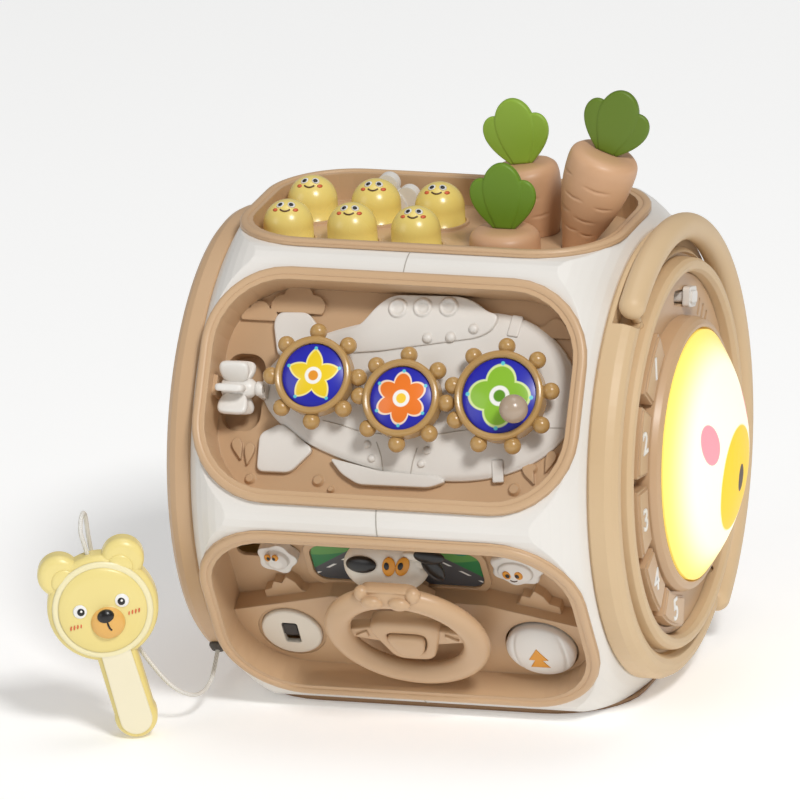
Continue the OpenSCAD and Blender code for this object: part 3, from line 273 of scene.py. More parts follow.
# one tree that lays a round strand along a line: cord, springs, seams and mouths use it
def strandTree():
    tree = bpy.data.node_groups.new("strandAlongLine", "GeometryNodeTree")
    tree.is_modifier = True
    sockets = {"Geometry": "Geometry", "Radius": "Float", "Sides": "Int", "Finish": "Material"}
    for label, kind in sockets.items():
        tree.interface.new_socket(label, in_out="INPUT", socket_type="NodeSocket" + kind)
    tree.interface.new_socket("Geometry", in_out="OUTPUT", socket_type="NodeSocketGeometry")
    start, end = tree.nodes.new("NodeGroupInput"), tree.nodes.new("NodeGroupOutput")
    kinds = ("MeshToCurve", "CurvePrimitiveCircle", "CurveToMesh", "SetShadeSmooth", "RealizeInstances",
             "SetMaterial")
    toCurve, ring, sweep, smooth, realize, paint = [tree.nodes.new("GeometryNode" + kind) for kind in kinds]
    sweep.inputs["Fill Caps"].default_value = True
    for source, out, target, into in (
            (start, "Geometry", toCurve, 0), (toCurve, 0, sweep, "Curve"),
            (start, "Sides", ring, "Resolution"), (start, "Radius", ring, "Radius"),
            (ring, 0, sweep, "Profile Curve"), (sweep, 0, smooth, 0), (smooth, 0, realize, 0),
            (realize, 0, paint, 0), (start, "Finish", paint, "Material"), (paint, 0, end, 0)):
        tree.links.new(source.outputs[out], target.inputs[into])
    return tree


def runTree(name, mesh, tree, **inputs):
    carrier = linked(name, mesh)
    modifier = carrier.modifiers.new("tree", "NODES")
    modifier.node_group = tree
    for item in tree.interface.items_tree:
        if item.in_out == "INPUT" and item.name in inputs:
            modifier[item.identifier] = inputs[item.name]
    made = treeResult(carrier)
    made.name = name
    carrier.modifiers.remove(modifier)
    bpy.data.objects.remove(carrier)
    return linked(name, made)


def strand(name, line, radius, material, matrix=None, sides=8):
    verts = [Vector(p) if matrix is None else matrix @ Vector(p) for p in line]
    mesh = bpy.data.meshes.new(name)
    mesh.from_pydata(verts, [(i, i + 1) for i in range(len(verts) - 1)], [])
    return runTree(name, mesh, strandPaths, Radius=radius, Sides=sides, Finish=material)


addCamera()
strandPaths = strandTree()

# cord of the mallet: from the grommet of the left end cap, behind the mallet and over into its head
cordSizes = {"diameter": 0.0022, "steps": 8, "sides": 12}
cordRoute = [(-105.5, -57.93, 35.99), (-105.5, -60.82, 31.91), (-105.5, -64.3, 27.02), (-105.5, -67.2, 22.95),
             (-105.4, -77, 14.5), (-105.6, -91, 12.5), (-108, -103, 15), (-115.5, -109, 21.5),
             (-125.5, -109.5, 33), (-136, -110.5, 49), (-144.5, -113, 68), (-149.5, -116, 87),
             (-151, -117.4, 98), (-151.3, -118.6, 106), (-151.1, -121, 110.8), (-150.8, -124.9, 112.6),
             (-150.5, -128.7, 110.8), (-150.13, -131.3, 105.04), (-148.69, -130.83, 98.72),
             (-147.8, -130.54, 94.83), (-146.69, -130.17, 89.97)]


def routeLine(route, steps):
    pts = [Vector(p) / 1000 for p in route]
    n = len(pts) - 1
    line = []
    for i in range(n):
        a, b, c, d = pts[max(i - 1, 0)], pts[i], pts[i + 1], pts[min(i + 2, n)]
        bend = 2 * a - 5 * b + 4 * c - d
        twist = 3 * b - a - 3 * c + d
        for k in range(steps):
            t = k / steps
            line.append(0.5 * (2 * b + (c - a) * t + bend * t ** 2 + twist * t ** 3))
    return line + [pts[n]]


def cordFinish():
    p = Paint("braided cord")
    x, y, z = p.flat(Matrix.Scale(0.001, 4))
    weave = ((x * 5.0 + z * 5.0).wave() * (y * 5.0 - z * 5.0).wave()) * 0.5 + 0.5
    return p.set(Base_Color=p.mix(weave, linear(206, 202, 194), linear(240, 238, 232)),
                 Roughness=0.62 - weave * 0.1, Normal=p.bump(weave, 0.4, 0.0003), Sheen_Weight=0.15)


cordLine = routeLine(cordRoute, cordSizes["steps"])
cordLength = sum((b - a).length for a, b in zip(cordLine, cordLine[1:]))
cord = strand("malletCord", cordLine, cordSizes["diameter"] / 2, cordFinish(), sides=cordSizes["sides"])
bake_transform(cord)
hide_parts("hammer_cord")
print("cord laid:", round(cordLength * 1000, 1), "mm")

# finishes: colour, its darker drift and roughness
whitePlastic = moulded("white shell plastic", (234, 230, 224), (226, 221, 213), 0.34)
tanPlastic = moulded("tan tray plastic", (206, 172, 135), (198, 163, 125), 0.4)
# painted light: the end ring and carry handle get the tray tan painted lighter
litRingPlastic = moulded("tan ring plastic with painted light", (217, 189, 150), (210, 180, 139), 0.5, coat=0.03)
basePlastic = moulded("dark tan base plastic", (170, 132, 94), (160, 122, 84), 0.42)
gearPlastic = moulded("ochre gear plastic", (190, 152, 96), (178, 140, 84), 0.24)
molePlastic = moulded("yellow mole plastic", (240, 217, 126), (233, 207, 110), 0.26, coat=0.2)
creamPlastic = moulded("cream plastic", (244, 236, 208), (238, 228, 196), 0.34)
malletPlastic = moulded("pale yellow mallet plastic", (240, 222, 146), (234, 213, 130), 0.3)
platePlastic = moulded("pale plate plastic", (232, 224, 210), (225, 216, 201), 0.36)
carrotPlastic = moulded("clay carrot plastic", (210, 167, 129), (201, 155, 116), 0.45, coat=0.06)
knobPlastic = moulded("grey tan knob plastic", (184, 164, 144), (172, 151, 130), 0.24, coat=0.3)
darkPlastic = moulded("dark switch plastic", (48, 44, 42), (38, 35, 33), 0.45)
rubber = moulded("grommet rubber", (92, 86, 80), (80, 74, 69), 0.7, coat=0.0, grain=0.2)
steel = moulded("bright steel", (180, 180, 182), (160, 160, 163), 0.3)
steel.node_tree.nodes["Principled BSDF"].inputs["Metallic"].default_value = 1.0
boardCoat = moulded("circuit board coat", (44, 100, 62), (36, 86, 52), 0.4)
cellWrap = moulded("cell wrap", (150, 146, 132), (134, 130, 118), 0.35)
inkBlack = moulded("black ink", (26, 23, 22), (20, 18, 17), 0.3, grain=0.02)
inkWhite = moulded("white ink", (246, 244, 240), (240, 238, 232), 0.34, grain=0.02)
inkOrange = moulded("orange ink", (232, 158, 48), (222, 146, 36), 0.36, grain=0.02)
inkBlush = moulded("blush ink", (232, 112, 66), (224, 102, 58), 0.4, grain=0.02)
inkBrown = moulded("brown ink", (96, 66, 40), (86, 58, 34), 0.4, grain=0.02)

# carried-over solids that stay in view
coatNode(whitePlastic, "shell_left", "shell_right", "flower_spinner", "mode_slider", "left_slider")
coatNode(tanPlastic, "top_tray", "gear_tray", "drive_tray", "lower_back_tray", "upper_back_tray",
         "right_end_plate", "left_end_cap", "key_1", "key_2", "key_3", "key_4", "key_5")
# painted light: the lighter copy of the tray tan on the end ring and handle
coatNode(litRingPlastic, "right_end_ring", "carry_handle")
coatNode(basePlastic, "base_tray", "battery_door")
coatNode(gearPlastic, "gear_left", "gear_middle", "gear_right")
coatNode(molePlastic, "back_knob")
coatNode(malletPlastic, "hammer_shell")
coatNode(platePlastic, "switch_plate")
coatNode(carrotPlastic, "clock_hand")
coatNode(knobPlastic, "crank_knob")
coatNode(darkPlastic, "power_switch", "speaker", "battery_box")
coatNode(rubber, "cord_grommet")
coatNode(steel, "screws")
coatNode(boardCoat, "main_board")
coatNode(cellWrap, "batteries")

# lit dome: warm white in the middle, yellow towards the edge, with cheeks and a muzzle
dome = {"radius": 61, "soft": 0.06, "glow": 0.34, "muzzle": (1, -11, 24.5, 26), "mouth": (1, -11, 4.0, 7),
        "cheeks": ((-29.5, 15, 7.2, 10), (33, 15, 7.2, 10))}


def domeFinish():
    p = Paint("lit dome")
    y, z = p.flat(drumEnd)[:2]

    def oval(cy, cz, ry, rz):
        far = ((y - cy) / ry) ** 2.0 + ((z - cz) / rz) ** 2.0
        return 1 - far.step(1 - dome["soft"], 1 + dome["soft"])

    far = (y * y + z * z) ** 0.5
    glow = p.mix((far / dome["radius"]).step(0.7, 1.0), linear(252, 248, 222), linear(250, 226, 112))
    near, other = dome["cheeks"]
    colour = p.mix(oval(*near).most(oval(*other)), glow, linear(226, 150, 160))
    colour = p.mix(oval(*dome["muzzle"]), colour, linear(236, 198, 2))
    colour = p.mix(oval(*dome["mouth"]), colour, linear(70, 48, 34))
    return p.set(Base_Color=colour, Roughness=0.42 + p.noise(70.0) * 0.06,
                 Emission_Color=colour, Emission_Strength=dome["glow"])


coatNode(domeFinish(), "drum_dome")

# road card: two rows of hills, a road with a dashed line and a plain sky, in millimetres from its middle
card = {"middle": (-5, 11), "skyFade": (8, 24), "soft": 0.3, "farHills": 15.0, "nearHills": 8.0,
        "roadHalf": 36.0, "roadTaper": 1.4, "roadEnd": 9.0, "dashAt": 6.0, "dashHalf": 0.9, "dashSoft": 0.2}


def cardFinish():
    p = Paint("printed road card")
    x, y = p.flat(driveFace)[:2]
    u = x - card["middle"][0]
    v = y - card["middle"][1]
    soft = card["soft"]
    farHills = (u * 0.13 + 0.6).wave() * 4.0 + (u * 0.31).wave() * 1.4 + card["farHills"]
    nearHills = (u * 0.09 + 2.2).wave() * 3.2 + card["nearHills"]
    shoulder = card["roadHalf"] - v * card["roadTaper"] - abs(u)
    road = shoulder.step(-soft, soft) * (card["roadEnd"] - v).step(-soft, soft)
    line = (card["dashHalf"] - abs(shoulder - card["dashAt"])).step(-card["dashSoft"], card["dashSoft"])
    dash = line * ((v * 0.16 + 0.2).part() - 0.5).step(-0.02, 0.02)
    colour = p.mix(v.step(*card["skyFade"]), linear(36, 128, 100), linear(46, 150, 122))
    colour = p.mix((farHills - v).step(-soft, soft), colour, linear(92, 152, 74))
    colour = p.mix((nearHills - v).step(-soft, soft), colour, linear(44, 124, 70))
    colour = p.mix(road, colour, linear(80, 82, 86))
    colour = p.mix(dash * road, colour, linear(236, 236, 232))
    return p.set(Base_Color=colour, Roughness=0.4 + p.noise(80.0) * 0.08)


coatNode(cardFinish(), "windscreen_card")
print("finishes on the carried-over solids")


# shapes for the looks, in millimetres of the place that carries them
def around(count):
    return [(math.cos(math.tau * i / count), math.sin(math.tau * i / count)) for i in range(count)]


def rowsOf(count, sides):
    return [list(range(r * sides, r * sides + sides)) for r in range(count)]


# faces between neighbouring rows of points; a row of one point closes an end
def joined(rows, sides):
    faces = []
    for a, b in zip(rows, rows[1:]):
        for i in range(sides):
            j = (i + 1) % sides
            ring = [a[i % len(a)], a[j % len(a)], b[j % len(b)], b[i % len(b)]]
            faces.append(tuple(dict.fromkeys(ring)))
    return faces


def addRow(verts, rows, points):
    rows.append(list(range(len(verts), len(verts) + len(points))))
    verts.extend(points)


def revolved(profile, sides=64):
    verts, rows = [], []
    for r, z in profile:
        addRow(verts, rows, [(0, 0, z)] if r < 1e-6 else [(r * c, r * s, z) for c, s in around(sides)])
    return verts, joined(rows, sides)


def ball(radii, sides=28, rings=14):
    turns = [math.pi * k / rings for k in range(1, rings)]
    profile = [(0, -1)] + [(math.sin(a), -math.cos(a)) for a in turns] + [(0, 1)]
    verts, faces = revolved(profile, sides)
    return [(x * radii[0], y * radii[1], z * radii[2]) for x, y, z in verts], faces


# a closed pillow over an outline: upright edge, rounded shoulder and a soft crown
def puffed(outline, low, high, shoulder, crown, rings=5):
    n = len(outline)
    cx, cy = sum(p[0] for p in outline) / n, sum(p[1] for p in outline) / n
    reach = sum(math.hypot(x - cx, y - cy) for x, y in outline) / n
    levels = [(1.0, low)]
    for k in range(rings + 1):
        a = math.pi / 2 * k / rings
        levels.append((1 - shoulder / reach * (1 - math.cos(a)), high - shoulder + shoulder * math.sin(a)))
    edge = levels[-1][0]
    for k in range(1, rings):
        t = k / rings
        levels.append((edge * (1 - t), high + crown * (1 - (1 - t) ** 2)))
    verts = [(cx + (x - cx) * scale, cy + (y - cy) * scale, z) for scale, z in levels for x, y in outline]
    rows = rowsOf(len(levels), n) + [[len(verts)]]
    return verts + [(cx, cy, high + crown)], [tuple(range(n - 1, -1, -1))] + joined(rows, n)


# half width grows from the blunt base to the swell, then a round top
def lobe(half, high, base, swell=0.62, steps=14):
    turns = [math.pi / 2 * k / steps for k in range(steps + 1)]
    side = [(base + (half - base) * math.sin(a), high * swell * k / steps) for k, a in enumerate(turns)]
    side += [(half * math.cos(a), high * (swell + (1 - swell) * math.sin(a))) for a in turns[1:-1]]
    return side + [(0, high)] + [(-x, y) for x, y in reversed(side)]


# both faces of a leaf or blade are crowned, so it is two pillows back to back
def plump(outline, thick, shoulder, crown):
    verts, faces = puffed(outline, 0, thick / 2, min(shoulder, thick / 2), crown)
    back = [tuple(i + len(verts) for i in reversed(f)) for f in faces[1:]]
    return verts + [(x, y, -z) for x, y, z in verts], faces[1:] + back


# corners of an outline turned into soft bends
def rounded(points, radius, steps=6):
    made = []
    n = len(points)
    for i in range(n):
        a, b, c = (Vector(points[(i + k) % n]) for k in (-1, 0, 1))
        p = b + (a - b).normalized() * min(radius, (a - b).length * 0.48)
        q = b + (c - b).normalized() * min(radius, (c - b).length * 0.48)
        for k in range(steps + 1):
            t = k / steps
            made.append(p * (1 - t) ** 2 + b * 2 * t * (1 - t) + q * t ** 2)
    return made


def block(halfWide, halfHigh, radius):
    corners = [(-halfWide, -halfHigh), (halfWide, -halfHigh), (halfWide, halfHigh), (-halfWide, halfHigh)]
    return rounded(corners, radius)


def moved(x, y, z, turn=0.0):
    return Matrix.Translation((x, y, z)) @ turned(turn, "Z")


# z of the made piece points along the given direction
def aimed(at, direction, turn=0.0):
    lay = Vector(direction).to_track_quat("Z", "Y").to_matrix().to_4x4()
    return Matrix.Translation(at) @ lay @ turned(turn, "Z")


# several shapes with their own finishes become one piece on one body
def assembled(name, body, matrix, parts, replaces=(), flat=False):
    mesh = bpy.data.meshes.new(name)
    verts, faces, kinds, finishes = [], [], [], []
    for (partVerts, partFaces), material, local in parts:
        if material not in finishes:
            finishes.append(material)
        first = len(verts)
        verts += [tuple((local @ Vector(v)) if local is not None else v) for v in partVerts]
        faces += [tuple(first + i for i in f) for f in partFaces]
        kinds += [finishes.index(material)] * len(partFaces)
    mesh.from_pydata(verts, [], faces)
    for material in finishes:
        mesh.materials.append(material)
    mesh.polygons.foreach_set("material_index", kinds)
    mesh.transform(matrix)
    piece = finishMesh(name, mesh, not flat)
    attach(piece, body)
    if replaces:
        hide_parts(*replaces)
    return piece


def carried(piece, body):
    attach(piece, body)
    return piece


# pictures of the three gears: blue discs with a star, a flower and a clover
pictures = {"gear_left": {"at": (-39.55, 5.85), "radius": 15.6, "lobes": 5,
                          "colours": ((240, 206, 30), (250, 236, 150), (232, 150, 40))},
            "gear_middle": {"at": (6, -3), "radius": 15.6, "lobes": 6,
                            "colours": ((238, 122, 34), (250, 226, 200), (250, 206, 60))},
            "gear_right": {"at": (55.15, 0.87), "radius": 18.6, "lobes": 4,
                           "colours": ((140, 190, 48), (220, 236, 160), (96, 150, 32))}}
disc = {"low": -1.16, "edge": -0.75, "top": -0.5, "bevel": 0.3, "sides": 96}
figure = {"soft": 0.02, "halo": 0.07, "eye": 0.27, "heart": 0.16, "dotRing": 0.86, "dot": 0.055,
          "dotSoft": 0.015}


def pictureFinish(name, picture):
    cx, cy = picture["at"]
    reach, lobes = picture["radius"], picture["lobes"]
    fill, rim, heart = (linear(*c) for c in picture["colours"])
    p = Paint(name)
    x, y = p.flat(gearFace)[:2]
    u, v = (x - cx) / reach, (y - cy) / reach
    far = (u * u + v * v) ** 0.5
    turn = p.node("ShaderNodeMath", {"operation": "ARCTAN2"}, {0: u, 1: v})
    if lobes == 5:
        edge = 0.4 + abs((turn * (lobes / math.tau) + 100.0).part() - 0.5) * 2.0 * 0.4
    else:
        edge = 0.52 + abs((turn * (lobes / 2) + math.pi / 2).wave()) * 0.26

    def within(limit):
        return (limit - far).step(-figure["soft"], figure["soft"])

    along = ((turn * (lobes / math.tau) + 100.5).part() - 0.5) * (math.tau / lobes) * figure["dotRing"]
    offDot = (along ** 2.0 + (far - figure["dotRing"]) ** 2.0) ** 0.5
    colour = p.mix(within(edge + figure["halo"]), linear(34, 38, 176), rim)
    colour = p.mix(within(edge), colour, fill)
    colour = p.mix(within(figure["eye"]), colour, linear(246, 244, 238))
    colour = p.mix(within(figure["heart"]), colour, heart)
    spots = (figure["dot"] - offDot).step(-figure["dotSoft"], figure["dotSoft"])
    colour = p.mix(spots, colour, linear(96, 208, 222))
    return p.set(Base_Color=colour, Roughness=0.28 + p.noise(80.0) * 0.06, Coat_Weight=0.25,
                 Coat_Roughness=0.12)


def gearPictures():
    for body, picture in pictures.items():
        r = picture["radius"]
        profile = [(0, disc["low"]), (r, disc["low"]), (r, disc["edge"]), (r - disc["bevel"], disc["top"]),
                   (0, disc["top"])]
        parts = [(revolved(profile, disc["sides"]), pictureFinish(body + " picture", picture),
                  moved(*picture["at"], 0))]
        assembled(body + "Picture", body, gearFace, parts)


gearPictures()
print("gear pictures laid")

# moles: smooth hollow domes on a flange, with faces near the top
moleRow = {"x": (-75, -42.5, -10), "y": (-17, 22), "centre": -2.7, "radius": 12.2, "wall": 2.0, "foot": -15.6,
           "flange": 1.6, "steps": 24, "sides": 72}
moleSeats = [(x, y) for y in moleRow["y"] for x in moleRow["x"]]
# eye, pupil and blush: angle from the top, angle to each side, half sizes, lift, sides, rings and ink
moleMarks = ((25, 32, (1.9, 2.128, 0.5), 0.0, 20, 8, inkWhite),
             (26, 29, (1.15, 1.288, 0.4), 0.32, 16, 8, inkBlack),
             (42, 38, (1.5, 1.0, 0.22), 0.0, 16, 6, inkBlush))
moleSmile = {"turn": 8, "low": 38, "bend": 5, "half": 18, "step": 3, "lift": 0.12, "thick": 0.00042}


def moleBody():
    low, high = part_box("mole_1")
    brim = (high.x - low.x) * 500
    r, c, foot = moleRow["radius"], moleRow["centre"], moleRow["foot"]
    inside = r - moleRow["wall"]
    turns = [math.pi / 2 * k / moleRow["steps"] for k in range(moleRow["steps"] + 1)]
    inner = [(inside * math.sin(a), c + inside * math.cos(a)) for a in turns]
    outer = [(r * math.sin(a), c + r * math.cos(a)) for a in reversed(turns)]
    edge = [(inside, foot), (brim, foot), (brim, foot + moleRow["flange"]), (r, foot + moleRow["flange"])]
    return revolved(inner + edge + outer, moleRow["sides"])


def toward(polar, side):
    p, a = math.radians(polar), math.radians(side)
    return Vector((math.sin(p) * math.sin(a), -math.sin(p) * math.cos(a), math.cos(p)))


def moles():
    r, turn = moleRow["radius"], moleSmile["turn"]
    shape = moleBody()
    for i, (x, y) in enumerate(moleSeats, 1):
        body = "mole_%d" % i
        parts = [(shape, molePlastic, moved(x, y, 0))]
        assembled("mole%d" % i, body, topFace, parts, [body])
        centre = Vector((x, y, moleRow["centre"]))
        parts = []
        for side in (-1, 1):
            for polar, apart, size, lift, sides, rings, ink in moleMarks:
                d = toward(polar, turn + side * apart)
                parts.append((ball(size, sides, rings), ink, aimed(centre + d * (r + lift), d)))
        assembled("moleEyes%d" % i, body, topFace, parts)
        half = moleSmile["half"]
        smile = []
        for a in range(-half, half + 1, moleSmile["step"]):
            polar = moleSmile["low"] + moleSmile["bend"] * math.cos(math.pi / 2 * a / 20)
            smile.append(centre + toward(polar, turn + a) * (r + moleSmile["lift"]))
        line = strand("moleSmile%d" % i, smile, moleSmile["thick"], inkBrown, topFace)
        carried(line, body)


moles()
print("moles made")

# springs under the moles: wound once at rest height and carried by the housing
spring = {"radius": 0.0118, "wire": 0.0006, "turns": 5, "steps": 120, "travel": 0.009, "sides": 6}


def moleSprings():
    low, high = (corner.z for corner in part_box("mole_springs"))
    wire, steps, r = spring["wire"], spring["steps"], spring["radius"]
    for i, (x, y) in enumerate(moleSeats, 1):
        line = []
        for k in range(steps + 1):
            a = math.tau * spring["turns"] * k / steps
            rise = low + wire + (high - low - 2 * wire) * k / steps
            line.append((x / 1000 + r * math.cos(a), y / 1000 + r * math.sin(a), rise))
        coil = strand("moleSpring%d" % i, line, wire, steel, sides=spring["sides"])
        carried(coil, "housing")
        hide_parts("mole_springs")
        "mole_%d_press" % i
        x / 1000
        y / 1000
        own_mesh(coil)


moleSprings()
print("springs wound")

# carrots: a turned body with short slit marks, and leaves of three crowned lobes
carrotSizes = {"radius": 18.0, "length": 64.0, "ringStep": 0.55, "sides": 112, "slitDeep": 0.75,
               "slitHigh": 0.5, "seat": -11.5, "topRings": (6.0, 11.0), "blur": (-1.2, -0.6, 0, 0.6, 1.2)}
# place on the tray, lean and rise
carrotStands = {"front": ((36, -20), 0, 13.4), "back": ((38.7, 19), -8, 34.4), "right": ((66, -2), 20, 52)}
# depth below the top, angle and half width of each slit
carrotSlits = [(12.5, 215, 22), (15, 285, 26), (22.5, 245, 24), (24, 308, 20), (31, 224, 24), (33, 280, 26),
               (40, 250, 26), (41, 300, 22), (14, 40, 24), (21, 90, 26), (28, 20, 24), (30, 130, 24),
               (39, 70, 26)]
# radius along the body: shoulder in millimetres, then taper in parts of the length
carrotShoulder = [(0, 0.72), (1.2, 0.86), (3.4, 0.94), (7, 0.965)]
carrotTaper = [(0.19, 0.955), (0.28, 0.925), (0.37, 0.87), (0.46, 0.79), (0.56, 0.68), (0.66, 0.55),
               (0.75, 0.44), (0.83, 0.36), (0.91, 0.29), (0.965, 0.2), (0.992, 0.1), (1, 0)]
# half width, height and base of the lobes, their thickness, and how the side lobes stand; each leaf's green
# carries painted light and shade, lighter on the back leaf and darker on the right one
leaf = {"middle": (9.9, 33, 3.8), "side": (7.4, 26, 2.6), "middleThick": 4.2, "sideThick": 3.0,
        "shoulder": 1.2, "crown": 0.35, "apart": 2.6, "lift": 0.5, "lean": 23,
        "litAndShadedGreens": {"front": ((106, 142, 26), (94, 130, 20)), "back": ((146, 178, 58), (132, 166, 46)),
                   "right": ((98, 124, 24), (86, 112, 18))}}


def carrotPlace(key):
    (x, y), lean, rise = carrotStands[key]
    seat = topFace @ Matrix.Translation((x, y, carrotSizes["seat"]))
    return seat @ turned(lean, "Y") @ Matrix.Translation((0, 0, rise))


def carrotRadius(d):
    points = carrotShoulder + [(share * carrotSizes["length"], r) for share, r in carrotTaper]
    for (d0, r0), (d1, r1) in zip(points, points[1:]):
        if d <= d1:
            return carrotSizes["radius"] * (r0 + (r1 - r0) * (d - d0) / (d1 - d0))
    return 0.0


def slitCut(angle, d):
    cut = 0.0
    for at, turn, wide in carrotSlits:
        off = abs((angle - turn + 180) % 360 - 180)
        if off < wide and abs(d - at) < 2:
            slope = (d - at + 0.02 * off) / carrotSizes["slitHigh"]
            cut += (1 - (off / wide) ** 2) * math.exp(-slope ** 2)
    return cut * carrotSizes["slitDeep"]


def carrotBody():
    length, sides = carrotSizes["length"], carrotSizes["sides"]
    n = int(length / carrotSizes["ringStep"])
    verts, rows = [], []
    addRow(verts, rows, [(0, 0, 0)])
    for r in carrotSizes["topRings"]:
        addRow(verts, rows, [(r * c, r * s, 0) for c, s in around(sides)])
    for k in range(1, n):
        d = length * k / n
        near = [carrotRadius(min(max(d + e, 0), length)) for e in carrotSizes["blur"]]
        r = min(sum(near) / len(near), carrotRadius(d))
        cuts = [r - slitCut(360 * i / sides, d) for i in range(sides)]
        addRow(verts, rows, [(cut * c, cut * s, -d) for cut, (c, s) in zip(cuts, around(sides))])
    addRow(verts, rows, [(0, 0, -length)])
    return verts, joined(rows, sides)


def carrots():
    shape = carrotBody()
    stand = turned(90, "X")
    middle = plump(lobe(*leaf["middle"]), leaf["middleThick"], leaf["shoulder"], leaf["crown"])
    wing = plump(lobe(*leaf["side"]), leaf["sideThick"], leaf["shoulder"], leaf["crown"])
    for key in carrotStands:
        # painted light and shade: each leaf gets its own copy of the green, lighter on the back leaf, darker
        # on the right one
        shade = moulded(key + " leaf plastic with painted light and shade", *leaf["litAndShadedGreens"][key], 0.5, coat=0.04)
        body = "carrot_" + key
        place = carrotPlace(key)
        assembled(key + "Carrot", body, place, [(shape, carrotPlastic, None)], [body])
        parts = [(middle, shade, stand)]
        for side in (-1, 1):
            spread = moved(leaf["apart"] * side, leaf["lift"], 0, -leaf["lean"] * side)
            parts.append((wing, shade, stand @ spread))
        assembled(key + "Leaf", body, place, parts, ["leaf_" + key])


carrots()
print("carrots and leaves made")

# airship relief: a lens-shaped hull with a raised deck, keel, fins, windows, rivets and straps
airship = {"floor": -20.0, "tail": -70.5, "nose": 89.6, "axis": 3.0, "half": 42.0, "middle": 35.0,
           "skew": 7.0, "edge": 2.2, "crown": 5.2, "noseBend": 2.0, "tailBend": 1.8, "deckHigh": 6.1,
           "deckSlope": 0.055, "deckBend": -15, "keelHigh": 3.8, "finHigh": 3.3, "trimHigh": 6.5,
           "seamThick": 0.0003,
           "deck": [(-24, 34), (-15, 45.5), (-8, 50.4), (26, 51.4), (34, 49), (40, 44.6), (46, 43.4),
                    (44, 36), (37, 31.4), (-12, 22.2), (-52, 18), (-52, 25.6)],
           "keel": [(-32, -31), (-25, -38.6), (-16, -43.4), (20, -43), (28.4, -39.6), (24, -37), (-6, -36)],
           "fins": ([(-64, 17.5), (-68, 34), (-66, 39.4), (-51, 40), (-43, 31), (-46, 18)],
                    [(-58, -15), (-68.6, -21), (-68, -39.6), (-51, -39.4), (-40.4, -27.4)]),
           "windows": [(-4.8, 43.6), (7.6, 44.6), (20.6, 45.6)],
           "window": [(0, 0.2), (0.7, 0.35), (1.2, 0.15), (2.3, 0.2), (2.9, 0.9), (3.6, 1.35), (4.3, 1.05),
                      (4.8, 0.1), (4.9, -1.0), (0, -1.0)],
           "highRivets": [(11.7, 29.8), (23.3, 30.8), (34.4, 35.6)], "highRivet": (2.5, 2.5, 1.9),
           "lowRivets": [(-13.2, -23.6), (-10.5, -30.1), (17.4, -25.1), (14.9, -31.5)],
           "lowRivet": (1.9, 1.9, 1.3),
           "straps": [(54.2, 38.6, -6), (53.6, -33, 6)], "strap": (2.7, 5.4, 0.7),
           "seams": [[(-8.6, -22.2), (-5.7, -29.1), (-4.4, -35.8)],
                     [(12.3, -24.2), (10.6, -30.6), (9.8, -36.4)],
                     [(-37, -13), (-26, -15.2), (-16, -18), (4, -18.6), (25, -16.6), (40, -13.6), (62, -11),
                      (84, -10)]]}
# bearing of the paddle shaft on the tail, and the web under it
bearing = {"gap": 0.5, "y": -0.6, "z": -9.0, "long": 3.6, "bore": 2.3, "radius": 3.6, "bevel": 0.3,
           "web": (1.6, 3.6, 0.6), "webAt": 1.8, "webTop": 2.8}


# 0 at the edge of the hull, 1 on its axis
def hullDepth(x, y):
    v = (y - airship["axis"]) / airship["half"]
    middle = airship["middle"] + airship["skew"] * v
    if x > middle:
        along = ((x - middle) / (airship["nose"] - middle)) ** airship["noseBend"]
    else:
        along = ((middle - x) / (middle - airship["tail"])) ** airship["tailBend"]
    return max(0.0, 1 - along - v * v)


def hullTop(x, y):
    return airship["floor"] + airship["edge"] + airship["crown"] * hullDepth(x, y)


def hullOutline(count=128):
    made = []
    for c, v in around(count):
        middle = airship["middle"] + airship["skew"] * v
        if c > 0:
            x = middle + (airship["nose"] - middle) * c
        else:
            x = middle - (middle - airship["tail"]) * (-c) ** (2 / airship["tailBend"])
        made.append((x, airship["axis"] + airship["half"] * v))
    return made


def hullShapes():
    floor, edge = airship["floor"], airship["edge"]
    verts, faces = puffed(hullOutline(), floor, floor + edge, 1.2, 0.01, 16)
    made = [([(x, y, hullTop(x, y) if z >= floor + edge else z) for x, y, z in verts], faces)]
    verts, faces = puffed(rounded(airship["deck"], 4.5), floor, floor + airship["deckHigh"], 0.9, 0.7, 8)
    slope, bend = airship["deckSlope"], airship["deckBend"]
    verts = [(x, y, z - slope * max(0.0, bend - x) if z > floor + 4 else z) for x, y, z in verts]
    made.append((verts, faces))
    made.append(puffed(rounded(airship["keel"], 3), floor, floor + airship["keelHigh"], 0.9, 0.3))
    for fin in airship["fins"]:
        made.append(puffed(rounded(fin, 3.4), floor, floor + airship["finHigh"], 0.8, 0.2))
    return made


def bearingParts():
    x, y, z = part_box("gear_left")[0][0] * 1000 - bearing["gap"], bearing["y"], bearing["z"]
    bore, r, long, bevel = (bearing[k] for k in ("bore", "radius", "long", "bevel"))
    tube = revolved([(bore, 0), (r - bevel, 0), (r, bevel), (r, long - bevel), (r - bevel, long),
                     (bore, long), (bore, 0)], 40)
    web = puffed(block(*bearing["web"]), airship["floor"], z - bearing["webTop"], bearing["bevel"], 0.0)
    return [(tube, whitePlastic, aimed((x - long, y, z), (1, 0, 0))),
            (web, whitePlastic, moved(x - bearing["webAt"], y, 0))]


